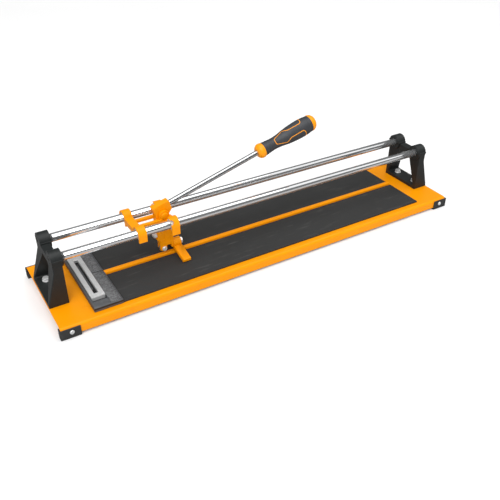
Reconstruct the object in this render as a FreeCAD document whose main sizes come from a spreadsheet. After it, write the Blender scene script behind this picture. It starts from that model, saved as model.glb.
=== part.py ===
import FreeCAD, Part

import math
import os

import Sketcher

# Manual tile cutter: a folded steel base with a breaking ridge and rubber pads, two chromed guide
# rails held by cast end brackets, and a carriage whose hinged lever holds the scoring wheel and the
# breaker foot. X runs along the rails, +Y away from the user, +Z up; the origin is on the ground,
# at the middle of the footprint. Millimetres.

Vector = FreeCAD.Vector
Rotation = FreeCAD.Rotation

os.makedirs("parts", exist_ok=True)
doc = FreeCAD.newDocument("tile_cutter")
sheet = doc.addObject("Spreadsheet::Sheet", "Sizes")


# ---------------------------------------------------------------- sizes and their formulas

class Size:
    """A number together with the sheet formula that gives it, so that both follow one expression."""

    def __init__(self, number, formula):
        self.number = number
        self.formula = formula

    def __add__(self, other):
        return merge(self, "+", other, self.number + as_size(other).number)

    def __radd__(self, other):
        return as_size(other) + self

    def __sub__(self, other):
        return merge(self, "-", other, self.number - as_size(other).number)

    def __rsub__(self, other):
        return as_size(other) - self

    def __mul__(self, other):
        return merge(self, "*", other, self.number * as_size(other).number)

    def __rmul__(self, other):
        return as_size(other) * self

    def __truediv__(self, other):
        return merge(self, "/", other, self.number / as_size(other).number)

    def __neg__(self):
        return self * -1.0


def as_size(value):
    """A Size as it is, or a plain number made into one."""
    return value if isinstance(value, Size) else Size(float(value), repr(float(value)))


def merge(first, sign, second, number):
    """Two sizes joined by an operator."""
    return Size(number, "(%s %s %s)" % (first.formula, sign, as_size(second).formula))


def sine(angle):
    """Sine of an angle kept in the sheet as degrees."""
    return Size(math.sin(math.radians(angle.number)), "sin(%s * 1 deg)" % angle.formula)


def cosine(angle):
    """Cosine of an angle kept in the sheet as degrees."""
    return Size(math.cos(math.radians(angle.number)), "cos(%s * 1 deg)" % angle.formula)


sheet_rows = []


def dimension(alias, number):
    """Writes one driving dimension into the sheet and returns it as a Size."""
    sheet_rows.append(alias)
    row = len(sheet_rows)
    sheet.set("A%d" % row, alias)
    sheet.set("B%d" % row, repr(float(number)))
    sheet.setAlias("B%d" % row, alias)
    return Size(float(number), "Sizes." + alias)


# base plate, feet, pads and ridge
base_length = dimension("base_length", 780)
base_width = dimension("base_width", 184)
base_height = dimension("base_height", 20)
foot_drop = dimension("foot_drop", 4)
sheet_thickness = dimension("sheet_thickness", 1.5)
bend_radius = dimension("bend_radius", 5)
line_offset = dimension("line_offset", 6)
ridge_width = dimension("ridge_width", 9)
ridge_height = dimension("ridge_height", 6)
ridge_gap = dimension("ridge_gap", 2)
pad_thickness = dimension("pad_thickness", 3)
pad_margin = dimension("pad_margin", 13)
pad_end_margin = dimension("pad_end_margin", 64)
corner_length = dimension("corner_length", 32)
corner_height = dimension("corner_height", 18)
corner_wall = dimension("corner_wall", 2)
corner_depth = dimension("corner_depth", 10)

# side stop
stop_inset = dimension("stop_inset", 57)
stop_width = dimension("stop_width", 47)
stop_height = dimension("stop_height", 8)
stop_front_margin = dimension("stop_front_margin", 12)
stop_back_margin = dimension("stop_back_margin", 16)
channel_inset = dimension("channel_inset", 4.2)
channel_depth = dimension("channel_depth", 4)
channel_end_wall = dimension("channel_end_wall", 16)
slider_width = dimension("slider_width", 22.3)
slider_thickness = dimension("slider_thickness", 6)
slider_travel = dimension("slider_travel", 6.5)
slider_slot = dimension("slider_slot", 6.8)
slider_bar = dimension("slider_bar", 11)
guide_rib = dimension("guide_rib", 3)
strip_width = dimension("strip_width", 16.5)
strip_thickness = dimension("strip_thickness", 1.5)
wheel_groove = dimension("wheel_groove", 2.4)

# end brackets and rails
bracket_inset = dimension("bracket_inset", 1)
bracket_foot_depth = dimension("bracket_foot_depth", 31)
bracket_top_depth = dimension("bracket_top_depth", 15)
bracket_knee = dimension("bracket_knee", 59)
bracket_flange = dimension("bracket_flange", 6)
bracket_leg_wall = dimension("bracket_leg_wall", 5)
bracket_saddle = dimension("bracket_saddle", 12)
window_top_half = dimension("window_top_half", 14)
hump_wall = dimension("hump_wall", 7)
hump_overhang = dimension("hump_overhang", 3)
bead_size = dimension("bead_size", 3)
bead_stand = dimension("bead_stand", 1)
bracket_bolt_spacing = dimension("bracket_bolt_spacing", 47)
rail_radius = dimension("rail_radius", 7)
rail_wall = dimension("rail_wall", 1.5)
rail_spacing = dimension("rail_spacing", 58)
rail_rise = dimension("rail_rise", 77)
socket_depth = dimension("socket_depth", 8)
plug_length = dimension("plug_length", 15)
fit_gap = dimension("fit_gap", 0.05)

# fasteners
bolt_radius = dimension("bolt_radius", 3)
bolt_hole_radius = dimension("bolt_hole_radius", 3.3)
hex_radius = dimension("hex_radius", 5.77)
screw_head_radius = dimension("screw_head_radius", 5)
side_gap = dimension("side_gap", 0.3)
bolt_head = dimension("bolt_head", 4)
nut_height = dimension("nut_height", 5)
thread_end = dimension("thread_end", 1.5)
washer_radius = dimension("washer_radius", 6.2)
washer_thickness = dimension("washer_thickness", 1.5)
small_screw_radius = dimension("small_screw_radius", 2)
small_head_radius = dimension("small_head_radius", 3.8)
small_head_height = dimension("small_head_height", 2)

# carriage
carriage_place = dimension("carriage_place", 199.5)
carriage_length = dimension("carriage_length", 71)
arm_width = dimension("arm_width", 14)
arm_thickness = dimension("arm_thickness", 10)
bush_wall = dimension("bush_wall", 2.1)
bush_inset = dimension("bush_inset", 1)
hook_wall = dimension("hook_wall", 3.4)
hook_skirt = dimension("hook_skirt", 11)
long_skirt = dimension("long_skirt", 15)
deck_drop = dimension("deck_drop", 3)
deck_thickness = dimension("deck_thickness", 5)
bar_width = dimension("bar_width", 6)
ear_thickness = dimension("ear_thickness", 4.7)
ear_radius = dimension("ear_radius", 9)
pivot_inset = dimension("pivot_inset", 13)
pivot_rise = dimension("pivot_rise", 7)
pin_radius = dimension("pin_radius", 4)
pin_head_radius = dimension("pin_head_radius", 6)
pin_head = dimension("pin_head", 2.5)

# lever and handle
lever_angle = dimension("lever_angle", 16.2)
lever_thickness = dimension("lever_thickness", 12)
rod_offset = dimension("rod_offset", 10.3)
rod_radius = dimension("rod_radius", 4.6)
socket_half = dimension("socket_half", 8)
head_front = dimension("head_front", 17.5)
head_back = dimension("head_back", 13)
rod_insert = dimension("rod_insert", 15)
rod_free = dimension("rod_free", 175.5)
rod_tang = dimension("rod_tang", 60)
limb_back = dimension("limb_back", 13)
limb_width = dimension("limb_width", 12)
ferrule_length = dimension("ferrule_length", 12.5)
ferrule_radius = dimension("ferrule_radius", 13)
core_radius = dimension("core_radius", 8)
grip_length = dimension("grip_length", 98)
grip_neck_radius = dimension("grip_neck_radius", 10.3)
grip_radius = dimension("grip_radius", 16)
cap_length = dimension("cap_length", 12.5)
cap_radius = dimension("cap_radius", 14.8)

# wheel holder, scoring wheel and breaker foot
wheel_radius = dimension("wheel_radius", 8)
wheel_thickness = dimension("wheel_thickness", 3)
wheel_bevel = dimension("wheel_bevel", 2.2)
wheel_lift = dimension("wheel_lift", 3.5)
wheel_back = dimension("wheel_back", 2)
wheel_room = dimension("wheel_room", 1.5)
cheek_drop = dimension("cheek_drop", 3)
cheek_front = dimension("cheek_front", 4.5)
notch_rise = dimension("notch_rise", 5.5)
tab_wall = dimension("tab_wall", 4)
axle_radius = dimension("axle_radius", 3)
axle_head_radius = dimension("axle_head_radius", 4.5)
holder_width = dimension("holder_width", 24)
holder_height = dimension("holder_height", 17)
tab_width = dimension("tab_width", 16)
tab_height = dimension("tab_height", 20)
breaker_width = dimension("breaker_width", 14)
breaker_half = dimension("breaker_half", 42)
breaker_thickness = dimension("breaker_thickness", 6.5)
breaker_rise = dimension("breaker_rise", 9)
breaker_lift = dimension("breaker_lift", 0.5)
breaker_hub = dimension("breaker_hub", 8)
breaker_bolt_rise = dimension("breaker_bolt_rise", 3.5)

doc.recompute()

# places that several pieces share
half_length = base_length / 2
half_width = base_width / 2
plate_under = base_height - sheet_thickness
rail_level = base_height + rail_rise
rail_half = rail_spacing / 2
bracket_outer = half_length - bracket_inset
bracket_inner = bracket_outer - bracket_foot_depth
bracket_top_outer = bracket_inner + bracket_top_depth
hump_radius = rail_radius + hump_wall
rail_end = bracket_inner + socket_depth - fit_gap * 2
stop_left = -half_length + stop_inset
stop_right = stop_left + stop_width
stop_front = -half_width + stop_front_margin
stop_back = half_width - stop_back_margin
stop_top = base_height + stop_height
pad_top = base_height + pad_thickness
carriage_left = -carriage_place - carriage_length / 2
carriage_right = -carriage_place + carriage_length / 2
pivot_x = carriage_right - pivot_inset
pivot_z = rail_level + pivot_rise
axle_x = pivot_x - wheel_back
axle_z = base_height + ridge_height + wheel_lift + wheel_radius
slot_half = lever_thickness / 2 + side_gap
limb_front = limb_back - limb_width
tab_right = pivot_x - limb_front + tab_width


# ---------------------------------------------------------------- modelling helpers

def bind(thing, name, size):
    """Ties one property to its formula."""
    thing.setExpression(name, as_size(size).formula)


def put(thing, x=0, y=0, z=0, turn=None, degrees=None):
    """Places an object, with its base point tied to formulas. A turn is (axis, angle in degrees)."""
    if turn is not None:
        thing.Placement = FreeCAD.Placement(Vector(), Rotation(Vector(*turn), as_size(degrees).number))
        if isinstance(degrees, Size):
            thing.setExpression("Placement.Rotation.Angle", "%s * 1 deg" % degrees.formula)
    for name, size in zip("xyz", (x, y, z)):
        bind(thing, "Placement.Base." + name, size)
    return thing


def block(x_range, y_range, z_range):
    """A box between two planes along each axis."""
    box = doc.addObject("Part::Box", "block")
    for name, (low, high) in zip(("Length", "Width", "Height"), (x_range, y_range, z_range)):
        bind(box, name, high - as_size(low))
    return put(box, x_range[0], y_range[0], z_range[0])


TURNS = {
    "+X": ((0, 1, 0), 90),
    "-X": ((0, 1, 0), -90),
    "+Y": ((1, 0, 0), -90),
    "-Y": ((1, 0, 0), 90),
    "+Z": ((0, 0, 1), 0),
    "-Z": ((1, 0, 0), 180),
}


def cylinder(radius, length, centre, way):
    """A cylinder that starts at centre and runs along a signed axis such as +X."""
    solid = doc.addObject("Part::Cylinder", "cylinder")
    bind(solid, "Radius", radius)
    bind(solid, "Height", length)
    axis, degrees = TURNS[way]
    return put(solid, *centre, turn=axis, degrees=degrees)


def hexagon(radius, length, centre, way):
    """A hexagonal prism that starts at centre and runs along a signed axis."""
    prism = doc.addObject("Part::Prism", "hexagon")
    prism.Polygon = 6
    bind(prism, "Circumradius", radius)
    bind(prism, "Height", length)
    axis, degrees = TURNS[way]
    return put(prism, *centre, turn=axis, degrees=degrees)


def cone(radius_start, radius_end, length, centre, way):
    """A truncated cone that starts at centre and runs along a signed axis."""
    solid = doc.addObject("Part::Cone", "cone")
    bind(solid, "Radius1", radius_start)
    bind(solid, "Radius2", radius_end)
    bind(solid, "Height", length)
    axis, degrees = TURNS[way]
    return put(solid, *centre, turn=axis, degrees=degrees)


def fuse(shapes):
    """Several overlapping or touching shapes made one."""
    joined = doc.addObject("Part::MultiFuse", "fuse")
    joined.Shapes = shapes
    joined.Refine = True
    return joined


def cut(base, tools):
    """A base with one or more tools taken away."""
    result = doc.addObject("Part::Cut", "cut")
    result.Base = base
    result.Tool = tools[0] if len(tools) == 1 else fuse(tools)
    result.Refine = True
    return result


def group(solids):
    """Separate like solids kept together as one sub-part."""
    compound = doc.addObject("Part::Compound", "group")
    compound.Links = solids
    return compound


def new_body(name):
    """An empty PartDesign body."""
    return doc.addObject("PartDesign::Body", name)


def origin_feature(body, role):
    """The body's own origin plane or axis with that role."""
    return [feature for feature in body.Origin.OriginFeatures if feature.Role == role][0]


def blank_sketch(body, plane):
    """A sketch on one of the body's origin planes."""
    sketch = body.newObject("Sketcher::SketchObject", "sketch")
    sketch.AttachmentSupport = (origin_feature(body, plane), [""])
    sketch.MapMode = "FlatFace"
    return sketch


def fix_point(sketch, line, end, point):
    """Ties both coordinates of a point of the sketch to formulas."""
    for kind, size in zip(("DistanceX", "DistanceY"), point):
        size = as_size(size)
        index = sketch.addConstraint(Sketcher.Constraint(kind, line, end, size.number))
        sketch.setExpression("Constraints[%d]" % index, size.formula)


def outline(body, plane, corners):
    """A closed outline of straight lines whose corners are tied to formulas."""
    sketch = blank_sketch(body, plane)
    places = [Vector(as_size(u).number, as_size(v).number, 0) for u, v in corners]
    count = len(corners)
    for i in range(count):
        sketch.addGeometry(Part.LineSegment(places[i], places[(i + 1) % count]), False)
    for i in range(count):
        sketch.addConstraint(Sketcher.Constraint("Coincident", i, 2, (i + 1) % count, 1))
        fix_point(sketch, i, 1, corners[i])
    return sketch


def circles(body, plane, centres, radius):
    """Circles of one radius whose centres are tied to formulas."""
    sketch = blank_sketch(body, plane)
    centre_point = 3
    for i, (u, v) in enumerate(centres):
        middle = Vector(as_size(u).number, as_size(v).number, 0)
        sketch.addGeometry(Part.Circle(middle, Vector(0, 0, 1), radius.number), False)
        fix_point(sketch, i, centre_point, (u, v))
        index = sketch.addConstraint(Sketcher.Constraint("Radius", i, radius.number))
        sketch.setExpression("Constraints[%d]" % index, radius.formula)
    return sketch


def extrude(body, kind, sketch, length, symmetric=False, reverse=False):
    """A PartDesign Pad or Pocket of that length, whose effect on the volume is checked."""
    before = body.Shape.Volume if body.Tip else 0.0
    feature = body.newObject("PartDesign::" + kind, kind.lower())
    feature.Profile = sketch
    feature.SideType = "Symmetric" if symmetric else "One side"
    feature.Reversed = reverse
    bind(feature, "Length", length)
    body.Tip = feature
    doc.recompute()
    grows = kind == "Pad"
    if (body.Shape.Volume > before) != grows:
        raise RuntimeError("%s of %s changes nothing" % (kind, body.Name))
    return feature


def turned(body, corners):
    """A solid of revolution about the body's X axis, from an outline in its XZ plane."""
    feature = body.newObject("PartDesign::Revolution", "turning")
    feature.Profile = outline(body, "XZ_Plane", corners)
    feature.ReferenceAxis = (origin_feature(body, "X_Axis"), [""])
    feature.Angle = 360
    body.Tip = feature
    doc.recompute()
    return body


def soften(body, kind, size, wanted):
    """A PartDesign Fillet or Chamfer on the tip's edges that a rule picks."""
    base = body.Tip
    names = ["Edge%d" % (i + 1) for i, edge in enumerate(base.Shape.Edges) if wanted(edge)]
    feature = body.newObject("PartDesign::" + kind, kind.lower())
    feature.Base = (base, names)
    bind(feature, "Radius" if kind == "Fillet" else "Size", size)
    body.Tip = feature
    doc.recompute()
    return feature


def runs_along(edge, axis):
    """True where an edge is straight and parallel to an axis, 0 for X, 1 for Y, 2 for Z."""
    if edge.Curve.TypeId != "Part::GeomLine":
        return False
    return abs(abs(edge.tangentAt(edge.FirstParameter)[axis]) - 1) < 1e-6


finished = {}


def keep(name, thing):
    """Names a finished sub-part, whose label is its file and node name."""
    thing.Label = name
    finished[name] = thing
    return thing


# ---------------------------------------------------------------- base plate

def bracket_bolt_places():
    """The (x, y) of the four bolts that hold the end brackets."""
    column = bracket_inner + bracket_foot_depth / 2
    spread = bracket_bolt_spacing / 2
    return [(side * column, line_offset + end * spread) for side in (-1, 1) for end in (-1, 1)]


def stop_screw_places():
    """The (x, y) of the two screws that hold the side stop from below."""
    column = stop_right - strip_width / 2
    return [(column, stop_front + channel_end_wall), (column, stop_back - channel_end_wall)]


corner_screw_x = half_length - corner_length / 2
corner_screw_z = corner_height * 0.6

# a channel folded from sheet: flat top, two long flanges with a rounded bend, open ends
base = new_body("base_plate")
inner_half = half_width - sheet_thickness
extrude(base, "Pad", outline(base, "YZ_Plane", [
    (-half_width, foot_drop),
    (-half_width, base_height),
    (half_width, base_height),
    (half_width, foot_drop),
    (inner_half, foot_drop),
    (inner_half, plate_under),
    (-inner_half, plate_under),
    (-inner_half, foot_drop),
]), base_length, symmetric=True)
soften(base, "Fillet", bend_radius, lambda edge: runs_along(edge, 0)
       and edge.CenterOfMass.z > base_height.number - 0.01)
soften(base, "Fillet", bend_radius - sheet_thickness, lambda edge: runs_along(edge, 0)
       and abs(edge.CenterOfMass.z - plate_under.number) < 0.01)
plate_holes = [cylinder(bolt_hole_radius, base_height, (x, y, foot_drop), "+Z")
               for x, y in bracket_bolt_places()]
plate_holes += [cylinder(small_screw_radius + fit_gap, base_height, (x, y, foot_drop), "+Z")
                for x, y in stop_screw_places()]
plate_holes += [cylinder(small_screw_radius + fit_gap, base_width * 2,
                         (side * corner_screw_x, -base_width, corner_screw_z), "+Y")
                for side in (-1, 1)]
keep("base_plate", cut(base, plate_holes))


# ---------------------------------------------------------------- breaking ridge and rubber pads

pad_right = half_length - pad_end_margin
pad_left = stop_right + fit_gap * 2
pad_length = pad_right - pad_left
pad_middle = (pad_right + pad_left) / 2

# a bar with a crowned top, spot welded to the plate under the cutting line
ridge = new_body("breaking_ridge")
ridge_half = ridge_width / 2
crown = ridge_height / 3
extrude(ridge, "Pad", outline(ridge, "YZ_Plane", [
    (-ridge_half, 0),
    (-ridge_half, ridge_height - crown),
    (-ridge_half / 2, ridge_height),
    (ridge_half / 2, ridge_height),
    (ridge_half, ridge_height - crown),
    (ridge_half, 0),
]), pad_length, symmetric=True)
keep("breaking_ridge", put(ridge, pad_middle, line_offset, base_height))


def rubber_pad(name, edge_low, edge_high):
    """A foam rubber sheet between two Y edges, with its upper edges just broken."""
    pad_body = new_body(name)
    half = (edge_high - edge_low) / 2
    extrude(pad_body, "Pad", outline(pad_body, "XY_Plane", [
        (-pad_length / 2, -half),
        (pad_length / 2, -half),
        (pad_length / 2, half),
        (-pad_length / 2, half),
    ]), pad_thickness)
    soften(pad_body, "Chamfer", pad_thickness / 6, lambda edge:
           abs(edge.BoundBox.ZMin - pad_thickness.number) < 0.01)
    keep(name, put(pad_body, pad_middle, (edge_low + edge_high) / 2, base_height))


rubber_pad("front_pad", -half_width + pad_margin, line_offset - ridge_half - ridge_gap)
rubber_pad("back_pad", line_offset + ridge_half + ridge_gap, half_width - pad_margin)


# ---------------------------------------------------------------- rubber corner feet

def small_screw(face, shank, way):
    """A pan head screw whose head sits on a face point and whose shank runs along way."""
    head_way = {"+Y": "-Y", "-Y": "+Y", "+Z": "-Z", "-Z": "+Z"}[way]
    head = cone(small_head_radius, small_head_radius * 0.7, small_head_height, face, head_way)
    return fuse([head, cylinder(small_screw_radius, shank, face, way)])


def span(side, low, high):
    """A range on the positive side of an axis, or its mirror image."""
    return (low, high) if side > 0 else (-high, -low)


foot_screws = []
for x_name, x_side in (("left", -1), ("right", 1)):
    for y_name, y_side in (("front", -1), ("back", 1)):
        outer_y = half_width + corner_wall
        outer_x = half_length + corner_wall
        inner_x = outer_x - corner_length
        body_block = block(span(x_side, inner_x, outer_x),
                           span(y_side, outer_y - corner_depth, outer_y), (0, corner_height))
        flange_slot = block(span(x_side, inner_x - corner_wall, half_length + fit_gap),
                            span(y_side, inner_half - fit_gap, half_width + fit_gap),
                            (foot_drop, corner_height + foot_drop))
        under_plate = block(span(x_side, inner_x - corner_wall, half_length + fit_gap),
                            span(y_side, outer_y - corner_depth * 2, inner_half),
                            (base_height - bend_radius - fit_gap, base_height))
        screw_hole = cylinder(small_screw_radius + fit_gap, corner_depth * 2,
                              (x_side * corner_screw_x, y_side * (outer_y + fit_gap), corner_screw_z),
                              "+Y" if y_side < 0 else "-Y")
        keep("%s_%s_foot" % (y_name, x_name), cut(body_block, [flange_slot, under_plate, screw_hole]))
        foot_screws.append(small_screw(
            (x_side * corner_screw_x, y_side * outer_y, corner_screw_z),
            corner_depth - corner_wall / 2, "+Y" if y_side < 0 else "-Y"))
keep("foot_screws", group(foot_screws))


# ---------------------------------------------------------------- side stop

groove_half = wheel_groove / 2
channel_left = stop_left + channel_inset
channel_right = channel_left + slider_width + fit_gap * 4
channel_front = stop_front + channel_end_wall
channel_floor = stop_top - channel_depth
strip_left = stop_right - strip_width - channel_inset * 0.75
strip_right = strip_left + strip_width
rib_left = channel_left + (slider_width - slider_slot) / 2 + fit_gap * 6

stop_body = new_body("stop_blank")
stop_length = stop_back - stop_front
extrude(stop_body, "Pad", outline(stop_body, "XY_Plane", [
    (-stop_width / 2, -stop_length / 2),
    (stop_width / 2, -stop_length / 2),
    (stop_width / 2, stop_length / 2),
    (-stop_width / 2, stop_length / 2),
]), stop_height)
soften(stop_body, "Chamfer", stop_height / 8, lambda edge:
       abs(edge.BoundBox.ZMin - stop_height.number) < 0.01)
put(stop_body, (stop_left + stop_right) / 2, (stop_front + stop_back) / 2, base_height)
slider_front = channel_front + slider_travel
slider_back = stop_back - channel_end_wall / 3 - slider_travel
channel = block((channel_left, channel_right), (channel_front, slider_back + slider_travel),
                (channel_floor, stop_top + stop_height))
wheel_slot = block((channel_right + guide_rib / 2, stop_right + strip_width),
                   (line_offset - groove_half, line_offset + groove_half),
                   (channel_floor, stop_top + stop_height))
rib = block((rib_left, rib_left + guide_rib),
            (slider_front + slider_bar + slider_travel * 2, slider_back - slider_bar - slider_travel * 2),
            (channel_floor, stop_top - fit_gap))
stop_screw_holes = [cylinder(small_screw_radius + fit_gap, stop_height * 0.75, (x, y, base_height), "+Z")
                    for x, y in stop_screw_places()]
keep("stop_base", fuse([cut(stop_body, [channel, wheel_slot] + stop_screw_holes), rib]))

slider_left = channel_left + fit_gap * 2
slider = new_body("stop_slider")
slider_length = slider_back - slider_front
extrude(slider, "Pad", outline(slider, "XY_Plane", [
    (-slider_width / 2, -slider_length / 2),
    (slider_width / 2, -slider_length / 2),
    (slider_width / 2, slider_length / 2),
    (-slider_width / 2, slider_length / 2),
]), slider_thickness)
extrude(slider, "Pocket", outline(slider, "XY_Plane", [
    (-slider_slot / 2, -slider_length / 2 + slider_bar),
    (slider_slot / 2, -slider_length / 2 + slider_bar),
    (slider_slot / 2, slider_length / 2 - slider_bar),
    (-slider_slot / 2, slider_length / 2 - slider_bar),
]), slider_thickness, reverse=True)
soften(slider, "Fillet", slider_bar / 6, lambda edge: runs_along(edge, 2)
       and abs(abs(edge.CenterOfMass.x) - slider_width.number / 2) < 0.01)
keep("stop_slider", put(slider, slider_left + slider_width / 2, (slider_front + slider_back) / 2,
                        channel_floor + fit_gap * 2))

for name, low, high in (("front_stop_strip", stop_front + thread_end, line_offset - groove_half),
                        ("back_stop_strip", line_offset + groove_half, stop_back - thread_end)):
    keep(name, block((strip_left, strip_right), (low, high), (stop_top, stop_top + strip_thickness)))
keep("stop_screws", group([small_screw((x, y, plate_under), stop_height * 0.7 + sheet_thickness, "+Z")
                           for x, y in stop_screw_places()]))


# ---------------------------------------------------------------- cast end brackets

rail_places = [line_offset - rail_half, line_offset + rail_half]
leg_reach = rail_half + hump_radius
window_bottom = base_height + bracket_flange
window_top = rail_level - bracket_saddle


def end_bracket(name, side):
    """A portal casting: two legs, a bottom flange, a saddle, and a hump over each rail socket."""
    casting = new_body(name + "_casting")
    extrude(casting, "Pad", outline(casting, "XZ_Plane", [
        (side * bracket_inner, 0),
        (side * bracket_outer, 0),
        (side * bracket_outer, bracket_flange),
        (side * bracket_top_outer, bracket_knee),
        (side * bracket_top_outer, rail_rise),
        (side * bracket_inner, rail_rise),
    ]), leg_reach * 2, symmetric=True)
    window_low_half = leg_reach - bracket_leg_wall
    extrude(casting, "Pocket", outline(casting, "YZ_Plane", [
        (-window_low_half, bracket_flange),
        (window_low_half, bracket_flange),
        (window_top_half, rail_rise - bracket_saddle),
        (-window_top_half, rail_rise - bracket_saddle),
    ]), base_length, reverse=side > 0)
    soften(casting, "Fillet", bracket_leg_wall / 2, lambda edge: runs_along(edge, 0)
           and bracket_flange.number - 0.01 < edge.CenterOfMass.z < rail_rise.number - 0.01
           and abs(edge.CenterOfMass.y) < window_low_half.number + 0.01)
    soften(casting, "Chamfer", bracket_leg_wall / 5, lambda edge:
           edge.BoundBox.ZLength > bracket_flange.number + 1
           and abs(edge.CenterOfMass.x) > bracket_inner.number + bracket_top_depth.number / 2
           and abs(edge.CenterOfMass.y) > leg_reach.number - 0.01)
    put(casting, 0, line_offset, base_height)
    way = "+X" if side > 0 else "-X"
    start = side * (bracket_inner - hump_overhang)
    hump_length = bracket_top_depth + hump_overhang
    pieces = [casting]
    bores = []
    for y in rail_places:
        pieces.append(cylinder(hump_radius, hump_length, (start, y, rail_level), way))
        pieces.append(block(span(side, bracket_inner - hump_overhang, bracket_top_outer),
                            (y - hump_radius - bead_stand, y + hump_radius + bead_stand),
                            (rail_level, rail_level + bead_size)))
        bores.append(cylinder(rail_radius + fit_gap, socket_depth + hump_overhang,
                              (start, y, rail_level), way))
        bores.append(cylinder(bolt_hole_radius, hump_length, (start, y, rail_level), way))
        bores.append(cylinder(screw_head_radius + side_gap, bolt_head,
                              (side * (bracket_top_outer - bolt_head), y, rail_level), way))
    for x, y in bracket_bolt_places():
        bores.append(cylinder(bolt_hole_radius, bracket_flange * 2, (x, y, plate_under), "+Z"))
    keep(name, cut(fuse(pieces), bores))


end_bracket("left_end_bracket", -1)
end_bracket("right_end_bracket", 1)

bracket_bolts = []
bracket_washers = []
bracket_nuts = []
for bolt_x, bolt_y in bracket_bolt_places():
    head_seat = window_bottom + washer_thickness
    shank_length = head_seat - plate_under + nut_height + thread_end
    bracket_bolts.append(fuse([
        hexagon(hex_radius, bolt_head, (bolt_x, bolt_y, head_seat), "+Z"),
        cylinder(bolt_radius, shank_length, (bolt_x, bolt_y, head_seat), "-Z"),
    ]))
    bracket_washers.append(cut(
        cylinder(washer_radius, washer_thickness, (bolt_x, bolt_y, window_bottom), "+Z"),
        [cylinder(bolt_hole_radius, washer_thickness * 3,
                  (bolt_x, bolt_y, window_bottom - washer_thickness), "+Z")]))
    bracket_nuts.append(cut(
        hexagon(hex_radius, nut_height, (bolt_x, bolt_y, plate_under), "-Z"),
        [cylinder(bolt_radius + fit_gap, nut_height * 2, (bolt_x, bolt_y, base_height), "-Z")]))
keep("bracket_bolts", group(bracket_bolts))
keep("bracket_washers", group(bracket_washers))
keep("bracket_nuts", group(bracket_nuts))


# ---------------------------------------------------------------- guide rails

rail_plugs = []
rail_screws = []
for rail_name, rail_y in zip(("front_rail", "back_rail"), rail_places):
    rail = new_body(rail_name)
    extrude(rail, "Pad", circles(rail, "YZ_Plane", [(0, 0)], rail_radius), rail_end * 2, symmetric=True)
    extrude(rail, "Pocket", circles(rail, "YZ_Plane", [(0, 0)], rail_radius - rail_wall),
            rail_end * 2, symmetric=True)
    keep(rail_name, put(rail, 0, rail_y, rail_level))
    for side, way, inward in ((-1, "-X", "+X"), (1, "+X", "-X")):
        plug_start = side * (rail_end - plug_length)
        plug = cylinder(rail_radius - rail_wall - fit_gap, plug_length, (plug_start, rail_y, rail_level), way)
        plug_bore = cylinder(bolt_radius + fit_gap, plug_length, (plug_start, rail_y, rail_level), way)
        rail_plugs.append(cut(plug, [plug_bore]))
        seat = (side * (bracket_top_outer - bolt_head), rail_y, rail_level)
        rail_screws.append(fuse([
            cylinder(screw_head_radius, bolt_head - side_gap, seat, way),
            cylinder(bolt_radius, plug_length, seat, inward),
        ]))
keep("rail_end_plugs", group(rail_plugs))
keep("rail_end_screws", group(rail_screws))


# ---------------------------------------------------------------- carriage

hook_radius = rail_radius + fit_gap * 2 + bush_wall + hook_wall
deck_top = rail_level + thread_end
deck_low = deck_top - deck_thickness
bar_outer = slot_half + bar_width
arm_low = rail_level - arm_thickness * 0.6
arm_high = arm_low + arm_thickness
left_arm = (carriage_left, carriage_left + arm_width)
right_arm = (carriage_right - arm_width, carriage_right)

casting_parts = [block(left_arm, (line_offset - rail_half, line_offset + rail_half), (arm_low, arm_high))]
channels = []
slide_bushes = []
for end_side in (-1, 1):
    near, far = slot_half, rail_half
    casting_parts.append(block(right_arm, tuple(line_offset + y for y in span(end_side, near, far)),
                               (arm_low, arm_high)))
    casting_parts.append(block((carriage_left, carriage_right),
                               tuple(line_offset + y for y in span(end_side, slot_half, bar_outer)),
                               (deck_low, deck_top)))
    ear = tuple(line_offset + y for y in span(end_side, slot_half, slot_half + ear_thickness))
    casting_parts.append(cylinder(ear_radius, ear_thickness, (pivot_x, ear[0], pivot_z), "+Y"))
    casting_parts.append(block((pivot_x - ear_radius, pivot_x + ear_radius), ear, (deck_low, pivot_z)))
    rail_y = line_offset + end_side * rail_half
    for (low, high), skirt in ((left_arm, hook_skirt), (right_arm, long_skirt)):
        start = (low, rail_y, rail_level)
        casting_parts.append(cylinder(hook_radius, arm_width, start, "+X"))
        casting_parts.append(block((low, high), (rail_y - hook_radius, rail_y + hook_radius),
                                   (rail_level - skirt, rail_level)))
        bush_outer = rail_radius + fit_gap + bush_wall
        long_start = (low - fit_gap, rail_y, rail_level)
        channels.append(cylinder(bush_outer + fit_gap, arm_width + fit_gap * 2, long_start, "+X"))
        channels.append(block((low - fit_gap, high + fit_gap),
                              (rail_y - bush_outer - fit_gap, rail_y + bush_outer + fit_gap),
                              (rail_level - skirt - hook_radius, rail_level)))
        bush_start = (low + bush_inset, rail_y, rail_level)
        bush = cylinder(bush_outer, arm_width - bush_inset * 2, bush_start, "+X")
        bush_bore = cylinder(rail_radius + fit_gap, arm_width, start, "+X")
        bush_gap = block((low, high), (rail_y - rail_radius * 0.7, rail_y + rail_radius * 0.7),
                         (rail_level - hook_radius * 2, rail_level - rail_radius * 0.5))
        slide_bushes.append(cut(bush, [bush_bore, bush_gap]))
channels.append(cylinder(pin_radius + fit_gap, base_width, (pivot_x, -half_width, pivot_z), "+Y"))
spot_face = slot_half + ear_thickness
for way, face in (("-Y", line_offset - spot_face), ("+Y", line_offset + spot_face)):
    channels.append(cylinder(pin_head_radius + side_gap * 2, pin_head * 2, (pivot_x, face, pivot_z), way))
keep("carriage_saddle", cut(fuse(casting_parts), channels))
keep("slide_bushes", group(slide_bushes))

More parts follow.
